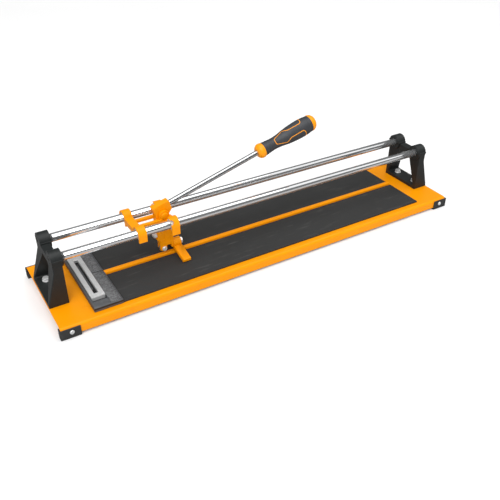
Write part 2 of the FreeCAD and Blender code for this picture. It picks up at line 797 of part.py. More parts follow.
pin_start = line_offset - slot_half - ear_thickness
pin_length = (slot_half + ear_thickness) * 2 + thread_end * 2
keep("pivot_pin", fuse([
    cylinder(pin_radius, pin_length, (pivot_x, pin_start, pivot_z), "+Y"),
    cylinder(pin_head_radius, pin_head, (pivot_x, pin_start, pivot_z), "-Y"),
]))
clip_start = line_offset + slot_half + ear_thickness
keep("pivot_clip", cut(
    cylinder(pin_head_radius, thread_end, (pivot_x, clip_start, pivot_z), "+Y"),
    [cylinder(pin_radius + fit_gap, thread_end * 2, (pivot_x, clip_start - thread_end / 2, pivot_z), "+Y"),
     block((pivot_x - pin_radius / 2, pivot_x + pin_radius / 2),
           (clip_start - thread_end, clip_start + thread_end * 2),
           (pivot_z - pin_head_radius * 2, pivot_z))]))


# ---------------------------------------------------------------- lever head

along_x = cosine(lever_angle)
along_z = sine(lever_angle)


def on_rod(distance, height):
    """A point of the lever's side view: a distance along the rod and a height above the pivot,
    both measured square to the rod's slope, turned into X and Z from the pivot."""
    return (along_x * distance - along_z * height, along_z * distance + along_x * height)


limb_bottom = axle_z + holder_height + wheel_lift / 3
limb_drop = pivot_z - limb_bottom
head = new_body("lever_head_casting")
extrude(head, "Pad", outline(head, "XZ_Plane", [
    (-limb_back, -limb_drop),
    (-limb_front, -limb_drop),
    (-limb_front, -ear_radius),
    (ear_radius / 2, -ear_radius),
    on_rod(head_front, rod_offset - socket_half),
    on_rod(head_front, rod_offset + socket_half),
    on_rod(-head_back, rod_offset + socket_half),
    (-limb_back, -thread_end),
]), lever_thickness, symmetric=True)
soften(head, "Fillet", thread_end, lambda edge: runs_along(edge, 1) and edge.CenterOfMass.z > -ear_radius.number)
put(head, pivot_x, line_offset, pivot_z)


def rod_axis(distance):
    """The X, Y and Z of a point on the rod's centre line, at a distance from the pivot's foot."""
    x, z = on_rod(distance, rod_offset)
    return (pivot_x + x, line_offset, pivot_z + z)


def along_rod(thing, distance):
    """Puts a piece whose own X axis is its length on the rod's centre line."""
    return put(thing, *rod_axis(distance), turn=(0, -1, 0), degrees=lever_angle)


rod_bore = doc.addObject("Part::Cylinder", "rod_bore")
bind(rod_bore, "Radius", rod_radius + fit_gap)
bind(rod_bore, "Height", rod_insert + head_front)
put(rod_bore, *rod_axis(head_front - rod_insert), turn=(0, 1, 0), degrees=90 - lever_angle)
tab_bolt_z = limb_bottom + tab_height / 2
keep("lever_head", cut(head, [
    rod_bore,
    cylinder(pin_radius + fit_gap, base_width, (pivot_x, -half_width, pivot_z), "+Y"),
    cylinder(bolt_hole_radius, limb_width * 2, (pivot_x - limb_back - limb_width / 2, line_offset, tab_bolt_z), "+X"),
]))


# ---------------------------------------------------------------- handle

def tube(name, start, length, outer, inner, bevel):
    """A turned sleeve on the rod's centre line, with its outer ends bevelled."""
    sleeve = turned(new_body(name), [
        (0, inner),
        (0, outer - bevel),
        (bevel, outer),
        (length - bevel, outer),
        (length, outer - bevel),
        (length, inner),
    ])
    return keep(name, along_rod(sleeve, start))


rod_length = rod_insert + rod_free + rod_tang
rod_bevel = rod_radius / 4
rod = turned(new_body("handle_rod"), [
    (0, 0),
    (0, rod_radius - rod_bevel),
    (rod_bevel, rod_radius),
    (rod_length - rod_bevel, rod_radius),
    (rod_length, rod_radius - rod_bevel),
    (rod_length, 0),
])
keep("handle_rod", along_rod(rod, head_front - rod_insert + fit_gap))

ferrule_start = head_front + rod_free
grip_start = ferrule_start + ferrule_length
cap_start = grip_start + grip_length
ferrule = turned(new_body("handle_ferrule"), [
    (0, rod_radius + fit_gap),
    (0, ferrule_radius * 0.7),
    (ferrule_length * 0.5, ferrule_radius),
    (ferrule_length, ferrule_radius),
    (ferrule_length, rod_radius + fit_gap),
])
keep("handle_ferrule", along_rod(ferrule, ferrule_start))
core_bore = rod_tang - ferrule_length + fit_gap * 2
core = turned(new_body("handle_core"), [
    (0, rod_radius + fit_gap),
    (0, core_radius),
    (grip_length, core_radius),
    (grip_length, 0),
    (core_bore, 0),
    (core_bore, rod_radius + fit_gap),
])
keep("handle_core", along_rod(core, grip_start))

# the grip's waisted outline is a smooth curve through shares of its length and radii
grip_stations = [
    (0.0, ferrule_radius.number * 0.95),
    (0.2, grip_neck_radius.number),
    (0.5, (grip_neck_radius.number + 2.3 * grip_radius.number) / 3.3),
    (0.83, grip_radius.number),
    (1.0, cap_radius.number),
]
grip_curve = Part.BSplineCurve()
grip_curve.interpolate([Vector(share * grip_length.number, 0, radius) for share, radius in grip_stations])
grip_bore = core_radius.number + fit_gap.number
inner_front = Vector(0, 0, grip_bore)
inner_back = Vector(grip_length.number, 0, grip_bore)
grip_section = Part.Face(Part.Wire([
    grip_curve.toShape(),
    Part.makeLine(Vector(grip_length.number, 0, grip_stations[-1][1]), inner_back),
    Part.makeLine(inner_back, inner_front),
    Part.makeLine(inner_front, Vector(0, 0, grip_stations[0][1])),
]))
grip = doc.addObject("Part::Feature", "handle_grip")
grip.Shape = grip_section.revolve(Vector(0, 0, 0), Vector(1, 0, 0), 360)
keep("handle_grip", along_rod(grip, grip_start))

cap = turned(new_body("handle_end_cap"), [
    (0, 0),
    (0, cap_radius),
    (cap_length * 0.35, cap_radius * 0.97),
    (cap_length * 0.7, cap_radius * 0.78),
    (cap_length * 0.93, cap_radius * 0.45),
    (cap_length, 0),
])
keep("handle_end_cap", along_rod(cap, cap_start))


# ---------------------------------------------------------------- wheel holder and scoring wheel

holder = new_body("wheel_holder_casting")
tab_left = -limb_front
tab_right_local = tab_left + tab_width
holder_left = tab_right_local - holder_width
shoulder = limb_bottom - axle_z
nose_right = cheek_front - wheel_back
extrude(holder, "Pad", outline(holder, "XZ_Plane", [
    (tab_left, shoulder + tab_height),
    (tab_right_local, shoulder + tab_height),
    (tab_right_local, -thread_end),
    (tab_right_local - tab_wall, -thread_end),
    (tab_right_local - tab_wall, notch_rise),
    (nose_right, notch_rise),
    (nose_right, -thread_end),
    (nose_right - thread_end, -cheek_drop),
    (holder_left + cheek_drop / 2, -cheek_drop),
    (holder_left, 0),
    (holder_left, shoulder),
    (tab_left, shoulder),
]), lever_thickness, symmetric=True)
soften(holder, "Fillet", thread_end, lambda edge: runs_along(edge, 1)
       and edge.CenterOfMass.z < shoulder.number - 0.01)
put(holder, pivot_x, line_offset, axle_z)
wheel_half = wheel_thickness / 2
wheel_pocket = fuse([
    cylinder(wheel_radius + wheel_room, wheel_thickness + side_gap * 2,
             (axle_x, line_offset - wheel_half - side_gap, axle_z), "+Y"),
    block((axle_x - wheel_radius - wheel_room, axle_x + wheel_radius + wheel_room),
          (line_offset - wheel_half - side_gap, line_offset + wheel_half + side_gap),
          (axle_z - wheel_radius * 2, axle_z)),
])
breaker_bolt_z = axle_z + breaker_bolt_rise
breaker_bolt_depth = tab_wall - side_gap
keep("wheel_holder", cut(holder, [
    wheel_pocket,
    cylinder(axle_radius + fit_gap, base_width, (axle_x, -half_width, axle_z), "+Y"),
    cylinder(bolt_hole_radius, tab_width * 2, (pivot_x - limb_front - tab_width / 2, line_offset, tab_bolt_z), "+X"),
    cylinder(bolt_radius + fit_gap, breaker_bolt_depth + side_gap, (tab_right, line_offset, breaker_bolt_z), "-X"),
]))
keep("holder_bolt", fuse([
    hexagon(hex_radius, bolt_head, (tab_right, line_offset, tab_bolt_z), "+X"),
    cylinder(bolt_radius, tab_width + limb_width + nut_height + thread_end,
             (tab_right, line_offset, tab_bolt_z), "-X"),
]))
nut_face = pivot_x - limb_back
keep("holder_nut", cut(
    hexagon(hex_radius, nut_height, (nut_face, line_offset, tab_bolt_z), "-X"),
    [cylinder(bolt_radius + fit_gap, nut_height * 2, (nut_face + nut_height / 2, line_offset, tab_bolt_z), "-X")]))

# hard metal wheel with an edge bevelled from both sides, turned about the body's X axis
edge_land = wheel_thickness / 20
wheel = turned(new_body("scoring_wheel"), [
    (-wheel_half, axle_radius + fit_gap),
    (-wheel_half, wheel_radius - wheel_bevel),
    (-edge_land, wheel_radius),
    (edge_land, wheel_radius),
    (wheel_half, wheel_radius - wheel_bevel),
    (wheel_half, axle_radius + fit_gap),
])
keep("scoring_wheel", put(wheel, axle_x, line_offset, axle_z, turn=(0, 0, 1), degrees=90))
cheek_face = lever_thickness / 2
keep("wheel_axle", fuse([
    cylinder(axle_head_radius, pin_head, (axle_x, line_offset - cheek_face, axle_z), "-Y"),
    cylinder(axle_radius, lever_thickness + nut_height, (axle_x, line_offset - cheek_face, axle_z), "+Y"),
]))
axle_nut_height = nut_height - thread_end
keep("axle_nut", cut(
    hexagon(axle_head_radius + side_gap, axle_nut_height, (axle_x, line_offset + cheek_face, axle_z), "+Y"),
    [cylinder(axle_radius + fit_gap, nut_height * 2, (axle_x, line_offset, axle_z), "+Y")]))


# ---------------------------------------------------------------- breaker foot

wing_low = pad_top + breaker_lift
breaker = new_body("breaker_foot_wing")
extrude(breaker, "Pad", outline(breaker, "YZ_Plane", [
    (-breaker_half, 0),
    (0, breaker_rise),
    (breaker_half, 0),
    (breaker_half, breaker_thickness),
    (0, breaker_rise + breaker_thickness),
    (-breaker_half, breaker_thickness),
]), breaker_width)
soften(breaker, "Fillet", breaker_thickness / 3, lambda edge: runs_along(edge, 0)
       and abs(edge.CenterOfMass.y) > breaker_half.number - 0.01)
put(breaker, tab_right, line_offset, wing_low)
foot_hub = cylinder(breaker_hub, breaker_width, (tab_right, line_offset, breaker_bolt_z), "+X")
foot_bore = cylinder(bolt_hole_radius, breaker_width * 2,
                     (tab_right - breaker_width / 2, line_offset, breaker_bolt_z), "+X")
keep("breaker_foot", cut(fuse([breaker, foot_hub]), [foot_bore]))
keep("breaker_bolt", fuse([
    hexagon(hex_radius, bolt_head, (tab_right + breaker_width, line_offset, breaker_bolt_z), "+X"),
    cylinder(bolt_radius, breaker_width + breaker_bolt_depth, (tab_right + breaker_width, line_offset, breaker_bolt_z), "-X"),
]))


# ---------------------------------------------------------------- checks and export

doc.recompute()
for thing in doc.Objects:
    if "Invalid" in thing.State or "Error" in thing.State:
        raise RuntimeError("%s did not compute: %s" % (thing.Name, thing.State))
for name, thing in finished.items():
    if thing.Shape.isNull() or not thing.Shape.isValid():
        raise RuntimeError("%s has no valid shape" % name)
for name, thing in finished.items():
    thing.Shape.exportStep("parts/%s.step" % name)
    box = thing.Shape.BoundBox
    print("%-20s %d solids, volume %9.1f, x %.1f..%.1f y %.1f..%.1f z %.1f..%.1f" % (
        name, len(thing.Shape.Solids), thing.Shape.Volume,
        box.XMin, box.XMax, box.YMin, box.YMax, box.ZMin, box.ZMax))
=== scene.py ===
import math

import bmesh
import bpy
import numpy as np
from mathutils import Matrix, Vector


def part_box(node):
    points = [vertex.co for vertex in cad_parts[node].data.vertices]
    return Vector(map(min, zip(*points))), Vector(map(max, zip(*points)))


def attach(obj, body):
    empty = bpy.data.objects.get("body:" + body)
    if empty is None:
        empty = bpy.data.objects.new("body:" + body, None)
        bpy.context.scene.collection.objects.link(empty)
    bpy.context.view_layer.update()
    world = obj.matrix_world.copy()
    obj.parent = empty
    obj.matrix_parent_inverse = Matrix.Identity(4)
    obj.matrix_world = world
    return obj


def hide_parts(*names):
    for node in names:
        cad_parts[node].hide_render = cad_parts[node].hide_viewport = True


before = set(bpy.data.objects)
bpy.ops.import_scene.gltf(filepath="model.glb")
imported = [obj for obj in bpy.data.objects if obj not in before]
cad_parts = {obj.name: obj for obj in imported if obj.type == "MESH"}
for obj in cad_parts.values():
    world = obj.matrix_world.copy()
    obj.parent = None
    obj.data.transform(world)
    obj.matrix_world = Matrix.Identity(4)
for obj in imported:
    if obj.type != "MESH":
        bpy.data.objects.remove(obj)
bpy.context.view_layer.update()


# ---------------------------------------------------------------- base plate and breaking ridge
# A long steel channel, folded from 1.5 mm sheet with a soft bend along both sides, and a crowned bar
# welded to it under the cutting line. Both are powder coated orange in one go, so the coat has a fine
# orange peel, a little unevenness, and hair scratches where tiles have been dragged over it.

class Value:
    """A number that varies over a surface. Arithmetic on it adds one Math node for each step."""

    def __init__(self, finish, socket):
        self.finish = finish
        self.socket = socket

    def maths(self, operation, first, second=0.0, third=0.0):
        return self.finish.node("ShaderNodeMath", {"operation": operation},
                                {0: first, 1: second, 2: third})

    def __add__(self, other):
        return self.maths("ADD", self, other)

    def __radd__(self, other):
        return self.maths("ADD", other, self)

    def __sub__(self, other):
        return self.maths("SUBTRACT", self, other)

    def __rsub__(self, other):
        return self.maths("SUBTRACT", other, self)

    def __mul__(self, other):
        return self.maths("MULTIPLY", self, other)

    def __rmul__(self, other):
        return self.maths("MULTIPLY", other, self)

    def __truediv__(self, other):
        return self.maths("DIVIDE", self, other)

    def __pow__(self, other):
        return self.maths("POWER", self, other)

    def fraction(self):
        return self.maths("FRACT", self)

    def size(self):
        return self.maths("ABSOLUTE", self)

    def below(self, limit):
        return self.maths("LESS_THAN", self, limit)

    def over(self, low, high):
        """0 below low, 1 above high, and a smooth step between."""
        return self.finish.node("ShaderNodeMapRange", {"interpolation_type": "SMOOTHSTEP"},
                                {"Value": self, "From Min": low, "From Max": high})


class Finish:
    """A material with one Principled surface, whose patterns read the row frame in metres."""

    def __init__(self, name):
        self.material = bpy.data.materials.new(name)
        self.material.use_nodes = True
        self.tree = self.material.node_tree
        self.surface = self.tree.nodes["Principled BSDF"]

    def node(self, kind, settings, sockets, result=0):
        """Adds a node: its settings first, then the value or link of each socket."""
        made = self.tree.nodes.new(kind)
        for name, setting in settings.items():
            setattr(made, name, setting)
        for name, value in sockets.items():
            self.join(made.inputs[name], value)
        return Value(self, made.outputs[result])

    def join(self, socket, value):
        if isinstance(value, Value):
            self.tree.links.new(value.socket, socket)
        else:
            socket.default_value = value

    def place(self, stretch=(1.0, 1.0, 1.0), turn=(0.0, 0.0, 0.0), shift=(0.0, 0.0, 0.0)):
        """The point on the object, stretched, turned and shifted for a pattern."""
        here = self.node("ShaderNodeTexCoord", {}, {}, "Object")
        return self.node("ShaderNodeMapping", {}, {"Vector": here, "Location": shift,
                                                   "Rotation": turn, "Scale": stretch})

    def along(self, axis, point=None):
        """One coordinate of the point on the object: X, Y or Z."""
        here = point or self.node("ShaderNodeTexCoord", {}, {}, "Object")
        return self.node("ShaderNodeSeparateXYZ", {}, {"Vector": here}, axis)

    def noise(self, scale, detail=3.0, rough=0.55, point=None):
        """Soft random blotches between 0 and 1, scale of them to the metre."""
        return self.node("ShaderNodeTexNoise", {}, {"Vector": point or self.place(), "Scale": scale,
                                                    "Detail": detail, "Roughness": rough}, "Fac")

    def grains(self, scale, point=None):
        """Distance to the nearest of scattered grains, scale of them to the metre."""
        return self.node("ShaderNodeTexVoronoi", {}, {"Vector": point or self.place(), "Scale": scale},
                         "Distance")

    def colour(self, share, first, second):
        """A colour between two, by share."""
        return self.node("ShaderNodeMix", {"data_type": "RGBA"},
                         {"Factor": share, 6: first, 7: second}, 2)

    def scratches(self, turn, density=0.035):
        """Hair scratches that run one way: the crest of a strongly stretched noise."""
        streak = self.noise(1.0, 2.0, 0.5, self.place((9.0, 900.0, 900.0), turn))
        patch = self.noise(14.0, 1.0)
        return streak.over(0.70 - density, 0.74) * patch.over(0.5, 0.62)

    def done(self, colour, roughness, height=None, depth=0.0001, strength=0.5, **constants):
        """Joins the patterns to the surface, with a bump of that depth in metres."""
        self.join(self.surface.inputs["Base Color"], colour)
        self.join(self.surface.inputs["Roughness"], roughness)
        if height is not None:
            bump = self.node("ShaderNodeBump", {}, {"Height": height, "Distance": depth,
                                                    "Strength": strength})
            self.join(self.surface.inputs["Normal"], bump)
        for name, value in constants.items():
            self.surface.inputs[name.replace("_", " ")].default_value = value
        return self.material


def orange_powder_coat():
    """Powder coat: peel about a millimetre across, colour within a few percent, hair scratches."""
    finish = Finish("orange powder coat")
    broad = finish.noise(9.0, 3.0)
    peel = finish.noise(950.0, 2.0, 0.45)
    fine = finish.noise(3200.0, 2.0)
    hair = finish.scratches((0.0, 0.0, 0.35)) + finish.scratches((0.0, 0.0, -0.6), 0.02)
    grime = finish.noise(60.0, 5.0, 0.65).over(0.55, 0.85)
    clean = finish.colour(broad, (0.78, 0.250, 0.0, 1.0), (0.84, 0.300, 0.0, 1.0))
    dulled = finish.colour(grime * 0.25, clean, (0.50, 0.13, 0.002, 1.0))
    colour = finish.colour(hair * 0.35, dulled, (0.95, 0.42, 0.05, 1.0))
    roughness = 0.30 + broad * 0.06 + grime * 0.14 + hair * 0.16 + fine * 0.04
    height = peel + fine * 0.25 - hair * 0.35
    return finish.done(colour, roughness, height, 0.00006, 0.35, Specular_IOR_Level=0.14)


orange_coat = orange_powder_coat()


def show(name, mesh, body, material, nodes=()):
    """Makes a piece of a mesh: it rides on a body, takes a finish and stands for CAD nodes."""
    mesh.materials.clear()
    mesh.materials.append(material)
    piece = bpy.data.objects.new(name, mesh)
    bpy.context.scene.collection.objects.link(piece)
    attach(piece, body)
    if nodes:
        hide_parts(*nodes)
    return piece


def softened(node, width, body, material, steps=2, limit=28.0, windowed=False):
    """A copy of a CAD node: its loose triangles joined, flat faces merged, and each edge sharper than
    limit degrees rounded to width metres where the edges beside it are longer than that, with the flat
    faces' own normals kept. A windowed node, whose flat faces run round a slot, has them cut into
    triangles again."""
    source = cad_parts[node].data
    points = np.empty(len(source.vertices) * 3)
    source.vertices.foreach_get("co", points)
    corners = np.empty(len(source.loops), int)
    source.loops.foreach_get("vertex_index", corners)
    merged, index = np.unique(np.round(points.reshape(-1, 3), 6), axis=0, return_inverse=True)
    triangles = index.reshape(-1)[corners].reshape(-1, 3)
    triangles = triangles[(triangles[:, 0] != triangles[:, 1]) & (triangles[:, 1] != triangles[:, 2])
                          & (triangles[:, 2] != triangles[:, 0])]
    mesh = bpy.data.meshes.new(node + "_mesh")
    mesh.from_pydata(merged.tolist(), [], triangles.tolist())
    work = bmesh.new()
    work.from_mesh(mesh)
    bmesh.ops.dissolve_limit(work, angle_limit=math.radians(0.5), verts=work.verts, edges=work.edges)
    if windowed:
        bmesh.ops.triangulate(work, faces=[face for face in work.faces if len(face.verts) > 4])
    chosen = work.edges.layers.float.new("bevel_weight_edge")
    for edge in work.edges:
        beside = min(other.calc_length() for point in edge.verts for other in point.link_edges)
        corner = edge.calc_face_angle(0.0) > math.radians(limit)
        edge[chosen] = float(corner and beside > width)
        edge.smooth = not corner or beside > width
    work.to_mesh(mesh)
    work.free()
    mesh.polygons.foreach_set("use_smooth", [True] * len(mesh.polygons))
    piece = show(node + "_piece", mesh, body, material, (node,))
    bevel = piece.modifiers.new("edges", "BEVEL")
    bevel.width = width
    bevel.segments = steps
    bevel.limit_method = "WEIGHT"
    bevel.use_clamp_overlap = False
    normals = piece.modifiers.new("flats", "WEIGHTED_NORMAL")
    normals.keep_sharp = True
    return piece


softened("base_plate", 0.0003, "base", orange_coat)


def grid_mesh(name, parts, crease=40.0):
    """One mesh of several grids of points, each rows x columns x 3, wrapped round along its columns.
    A first or last row whose points are all one point becomes a pole, and an open one is left open."""
    points, faces, start = [], [], 0
    for grid in parts:
        rows, columns = grid.shape[:2]
        top = 1 if np.ptp(grid[0], axis=0).max() < 1e-9 else 0
        bottom = rows - 1 if np.ptp(grid[-1], axis=0).max() < 1e-9 else rows
        body = grid[top:bottom].reshape(-1, 3)
        count = bottom - top
        i, j = np.meshgrid(np.arange(count - 1), np.arange(columns), indexing="ij")
        k = (j + 1) % columns
        quads = np.stack([i * columns + j, i * columns + k, (i + 1) * columns + k,
                          (i + 1) * columns + j], -1).reshape(-1, 4) + start
        faces.extend(quads.tolist())
        points.append(body)
        used = len(body)
        ring = np.arange(columns)
        after = (ring + 1) % columns
        if top:
            pole = start + used
            points.append(grid[0, :1])
            used += 1
            faces.extend(np.stack([np.full(columns, pole), after + start, ring + start], -1).tolist())
        if bottom < rows:
            pole = start + used
            points.append(grid[-1, :1])
            used += 1
            last = start + (count - 1) * columns
            faces.extend(np.stack([np.full(columns, pole), ring + last, after + last], -1).tolist())
        start += used
    mesh = bpy.data.meshes.new(name)
    mesh.from_pydata(np.concatenate(points).tolist(), [], faces)
    work = bmesh.new()
    work.from_mesh(mesh)
    bmesh.ops.recalc_face_normals(work, faces=work.faces)
    work.to_mesh(mesh)
    work.free()
    mesh.polygons.foreach_set("use_smooth", [True] * len(mesh.polygons))
    mesh.set_sharp_from_angle(angle=math.radians(crease))
    return mesh


def carried(section, low, high, edge):
    """A closed section of (y, z) carried along X from low to high. Its ends are rounded: towards each
    end the section shrinks to its middle by edge, along a quarter circle, and then closes on a point."""
    section = np.asarray(section, float)
    middle = section.mean(0)
    turn = np.linspace(0.0, math.pi / 2, 5)
    inset = np.concatenate([edge * (1 - np.sin(turn)), [0.0]])[:5]
    x = np.concatenate([[low], low + edge * (1 - np.cos(turn)),
                        high - edge * (1 - np.cos(turn[::-1])), [high]])
    reach = np.abs(section - middle).max(0)
    shrink = np.concatenate([[reach.max()], inset, inset[::-1], [reach.max()]])
    scale = np.clip(1 - shrink[:, None] / reach[None, :], 0.0, 1.0)
    grid = np.empty((len(x), len(section), 3))
    grid[..., 0] = x[:, None]
    grid[..., 1:] = middle + (section - middle)[None] * scale[:, None, :]
    return grid


ridge_low, ridge_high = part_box("breaking_ridge")
ridge_middle = (ridge_low.y + ridge_high.y) / 2
ridge_half = (ridge_high.y - ridge_low.y) / 2
ridge_turn = np.linspace(0.0, math.pi, 25)
ridge_section = np.stack([
    ridge_middle + ridge_half * np.sign(np.cos(ridge_turn)) * np.abs(np.cos(ridge_turn)) ** 0.55,
    ridge_low.z + (ridge_high.z - ridge_low.z) * np.sin(ridge_turn) ** 0.5], -1)
show("breaking_ridge_bar",
     grid_mesh("breaking_ridge_bar", [carried(ridge_section, ridge_low.x, ridge_high.x, 0.0012)]),
     "base", orange_coat, ("breaking_ridge",))


# ---------------------------------------------------------------- rubber pads
# Two mats of closed cell foam rubber, 3 mm thick, glued to the plate each side of the ridge. Their skin
# is dark grey and dull, with pinholes, a fine grain, and pale dust from tiles in the dips.

def foam_rubber():
    """Foam rubber: fine grain with pinholes coloured nearly black as painted shade, a broad cloudiness, and
    thin rubbed streaks of dust.
    """
    finish = Finish("foam rubber")
    cloud = finish.noise(16.0, 4.0, 0.6)
    grain = finish.noise(1500.0, 3.0, 0.7)
    pin = finish.grains(900.0)
    holes = 1.0 - pin.over(0.10, 0.26)
    dust = finish.noise(1.0, 3.0, 0.6, finish.place((22.0, 160.0, 160.0), (0.0, 0.0, 0.2))).over(0.56, 0.8)
    dark = finish.colour(grain, (0.013, 0.013, 0.013, 1.0), (0.038, 0.038, 0.037, 1.0))
    clouded = finish.colour(cloud * 0.5, dark, (0.040, 0.041, 0.041, 1.0))
    dusty = finish.colour(dust * 0.12, clouded, (0.26, 0.25, 0.235, 1.0))
    # Painted shade: the pinholes are coloured nearly black to stand in for the shade inside them.
    colour = finish.colour(holes * 0.7, dusty, (0.012, 0.012, 0.012, 1.0))
    roughness = 0.66 + grain * 0.14 + dust * 0.1
    return finish.done(colour, roughness, grain * 0.6 - holes, 0.00012, 0.45, Specular_IOR_Level=0.25)


pad_rubber = foam_rubber()
for pad in ("front_pad", "back_pad"):
    softened(pad, 0.0004, "base", pad_rubber, 2)


# ---------------------------------------------------------------- rubber corner feet and their screws
# A moulded block of hard black rubber on each corner, slotted over the folded flange and held by one
# zinc plated pan head screw with a cross recess, which sits on its own small washer face.

def moulded_rubber():
    """Moulded rubber: matt black with a faint spark-eroded grain, rubbed grey in places."""
    finish = Finish("moulded rubber")
    grain = finish.noise(1900.0, 2.0, 0.6)
    rub = finish.noise(75.0, 4.0, 0.6).over(0.5, 0.8)
    dark = finish.colour(grain, (0.016, 0.016, 0.016, 1.0), (0.036, 0.036, 0.035, 1.0))
    colour = finish.colour(rub * 0.35, dark, (0.085, 0.083, 0.078, 1.0))
    return finish.done(colour, 0.50 + grain * 0.12 + rub * 0.16, grain, 0.00008, 0.4,
                       Specular_IOR_Level=0.4)


foot_rubber = moulded_rubber()
for foot in ("front_left_foot", "front_right_foot", "back_left_foot", "back_right_foot"):
    softened(foot, 0.0009, "base", foot_rubber, 3)


def zinc_plate():
    """Bright zinc: cool grey metal, faintly clouded, with turning marks too fine to count."""
    finish = Finish("bright zinc")
    cloud = finish.noise(260.0, 4.0, 0.6)
    fine = finish.noise(2600.0, 2.0)
    colour = finish.colour(cloud, (0.70, 0.71, 0.72, 1.0), (0.90, 0.90, 0.88, 1.0))
    return finish.done(colour, 0.24 + cloud * 0.16 + fine * 0.05, fine, 0.00003, 0.3, Metallic=0.55)


zinc = zinc_plate()


def stacked(heights, radii, start, axis, twist=0.0):
    """Points round an axis: heights and radii are rows x columns, or rows alone for a round piece. Row r,
    column c lies at start + height along axis + radius at angle c square to it, plus the twist."""
    heights, radii = np.broadcast_arrays(np.atleast_2d(heights), np.atleast_2d(radii))
    rows, columns = heights.shape
    axis = Vector(axis).normalized()
    side = axis.orthogonal().normalized() if abs(axis.z) < 0.99 else Vector((1.0, 0.0, 0.0))
    if abs(axis.z) < 0.99:
        side = Vector((0.0, 0.0, 1.0)).cross(axis).normalized()
    across = axis.cross(side)
    angle = np.linspace(0.0, 2 * math.pi, columns, endpoint=False) + twist
    ring = np.cos(angle)[:, None] * np.array(side) + np.sin(angle)[:, None] * np.array(across)
    return np.array(start) + heights[..., None] * np.array(axis) + radii[..., None] * ring[None]


def turned(profile, start, axis, sides=48):
    """A turned piece: a profile of (height, radius) points, each ring alike all the way round."""
    profile = np.asarray(profile, float)
    flat = np.ones((1, sides))
    return stacked(profile[:, :1] * flat, profile[:, 1:] * flat, start, axis)


def pan_head(start, axis, radius, height, recess=0.0013, sides=64):
    """A pan head with a cross recess. Its height over the middle is a dome, height times the square root
    of 1 - (r/radius) to the fourth, less a cross whose arms are as wide as a fifth of the radius."""
    share = np.array([1.0, 1.0, 0.985, 0.95, 0.88, 0.78, 0.66, 0.58, 0.5, 0.42, 0.34, 0.26, 0.2, 0.12, 0.0])
    angle = np.linspace(0.0, 2 * math.pi, sides, endpoint=False)
    x = share[:, None] * np.cos(angle)[None]
    y = share[:, None] * np.sin(angle)[None]
    dome = height * np.sqrt(np.clip(1 - share ** 4, 0.0, 1.0))[:, None] * np.ones((1, sides))
    arms = np.minimum(np.abs(x), np.abs(y)) < 0.11
    inside = arms & (share[:, None] < 0.6)
    level = np.where(inside, height - recess * (1.15 - share[:, None]), np.maximum(dome, height * 0.25))
    level[0] = 0.0
    return stacked(level, share[:, None] * radius * np.ones((1, sides)), start, axis)


foot_low, foot_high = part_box("foot_screws")
screw_parts = []
for x_side in (-1.0, 1.0):
    screw_x = x_side * (foot_high.x - 0.0038)
    for y_side in (-1.0, 1.0):
        outer = y_side * (foot_high.y - 0.002)
        screw_z = (foot_low.z + foot_high.z) / 2
        away = (0.0, y_side, 0.0)
        screw_parts.append(pan_head((screw_x, outer, screw_z), away, 0.0036, 0.0019))
show("foot_screw_heads", grid_mesh("foot_screw_heads", screw_parts, 30.0),
     "base", zinc, ("foot_screws",))


# ---------------------------------------------------------------- cast end brackets and their bolts
# Each rail end sits in a black painted portal casting: two spread legs, a flange on the plate, and a
# round boss over each rail. Two hex bolts with washers hold it, with nuts under the plate, and a
# screw through each boss draws the rail home.

def black_cast_paint():
    """Satin black paint over sand casting: coarse grain shows through, edges and crests catch light."""
    finish = Finish("black cast paint")
    sand = finish.noise(1100.0, 4.0, 0.65)
    swell = finish.noise(150.0, 3.0, 0.5)
    pits = 1.0 - finish.grains(520.0).over(0.05, 0.3)
    rub = finish.noise(42.0, 5.0, 0.6).over(0.52, 0.8)
    dark = finish.colour(sand, (0.006, 0.0075, 0.0075, 1.0), (0.018, 0.021, 0.021, 1.0))
    colour = finish.colour(rub * 0.3, dark, (0.036, 0.038, 0.036, 1.0))
    height = sand * 0.7 + swell * 0.8 - pits * 0.5
    return finish.done(colour, 0.44 + sand * 0.14 + rub * 0.1, height, 0.0002, 0.45,
                       Specular_IOR_Level=0.36)


black_cast = black_cast_paint()
for bracket in ("left_end_bracket", "right_end_bracket"):
    softened(bracket, 0.0003, "base", black_cast, 3, 32.0)


def hex_piece(start, axis, across, height, chamfers=(False, True), bore=0.0, twist=0.0, sides=72):
    """A hexagon across its flats, its corners cut by a cone on the ends that say so. The wall's radius is
    half the width over the cosine of the angle from the nearest flat's middle, and an end's height
    falls with the radius outside the circle that fits in the flats. A bore turns it into a nut."""
    angle = np.linspace(0.0, 2 * math.pi, sides, endpoint=False)
    from_flat = (angle + math.pi / 6) % (math.pi / 3) - math.pi / 6
    wall = across / 2 / np.cos(from_flat)
    circle = np.full(sides, across / 2 * 0.96)
    fall = (wall - circle) * 0.58
    low = fall if chamfers[0] else np.zeros(sides)
    high = height - (fall if chamfers[1] else 0.0)
    rows = [(np.zeros(sides), circle)]
    rows += [(low, wall), (high, wall), (np.full(sides, height), circle)]
    if bore:
        rows += [(np.full(sides, height), np.full(sides, bore * 1.15)),
                 (np.full(sides, height - bore * 0.15), np.full(sides, bore)),
                 (np.full(sides, bore * 0.15), np.full(sides, bore)),
                 (np.zeros(sides), np.full(sides, bore * 1.15))]
        rows.append(rows[0])
    else:
        rows += [(np.full(sides, height), np.zeros(sides))]
        rows.insert(0, (np.zeros(sides), np.zeros(sides)))
    return stacked(np.array([r[0] for r in rows]), np.array([r[1] for r in rows]), start, axis, twist)


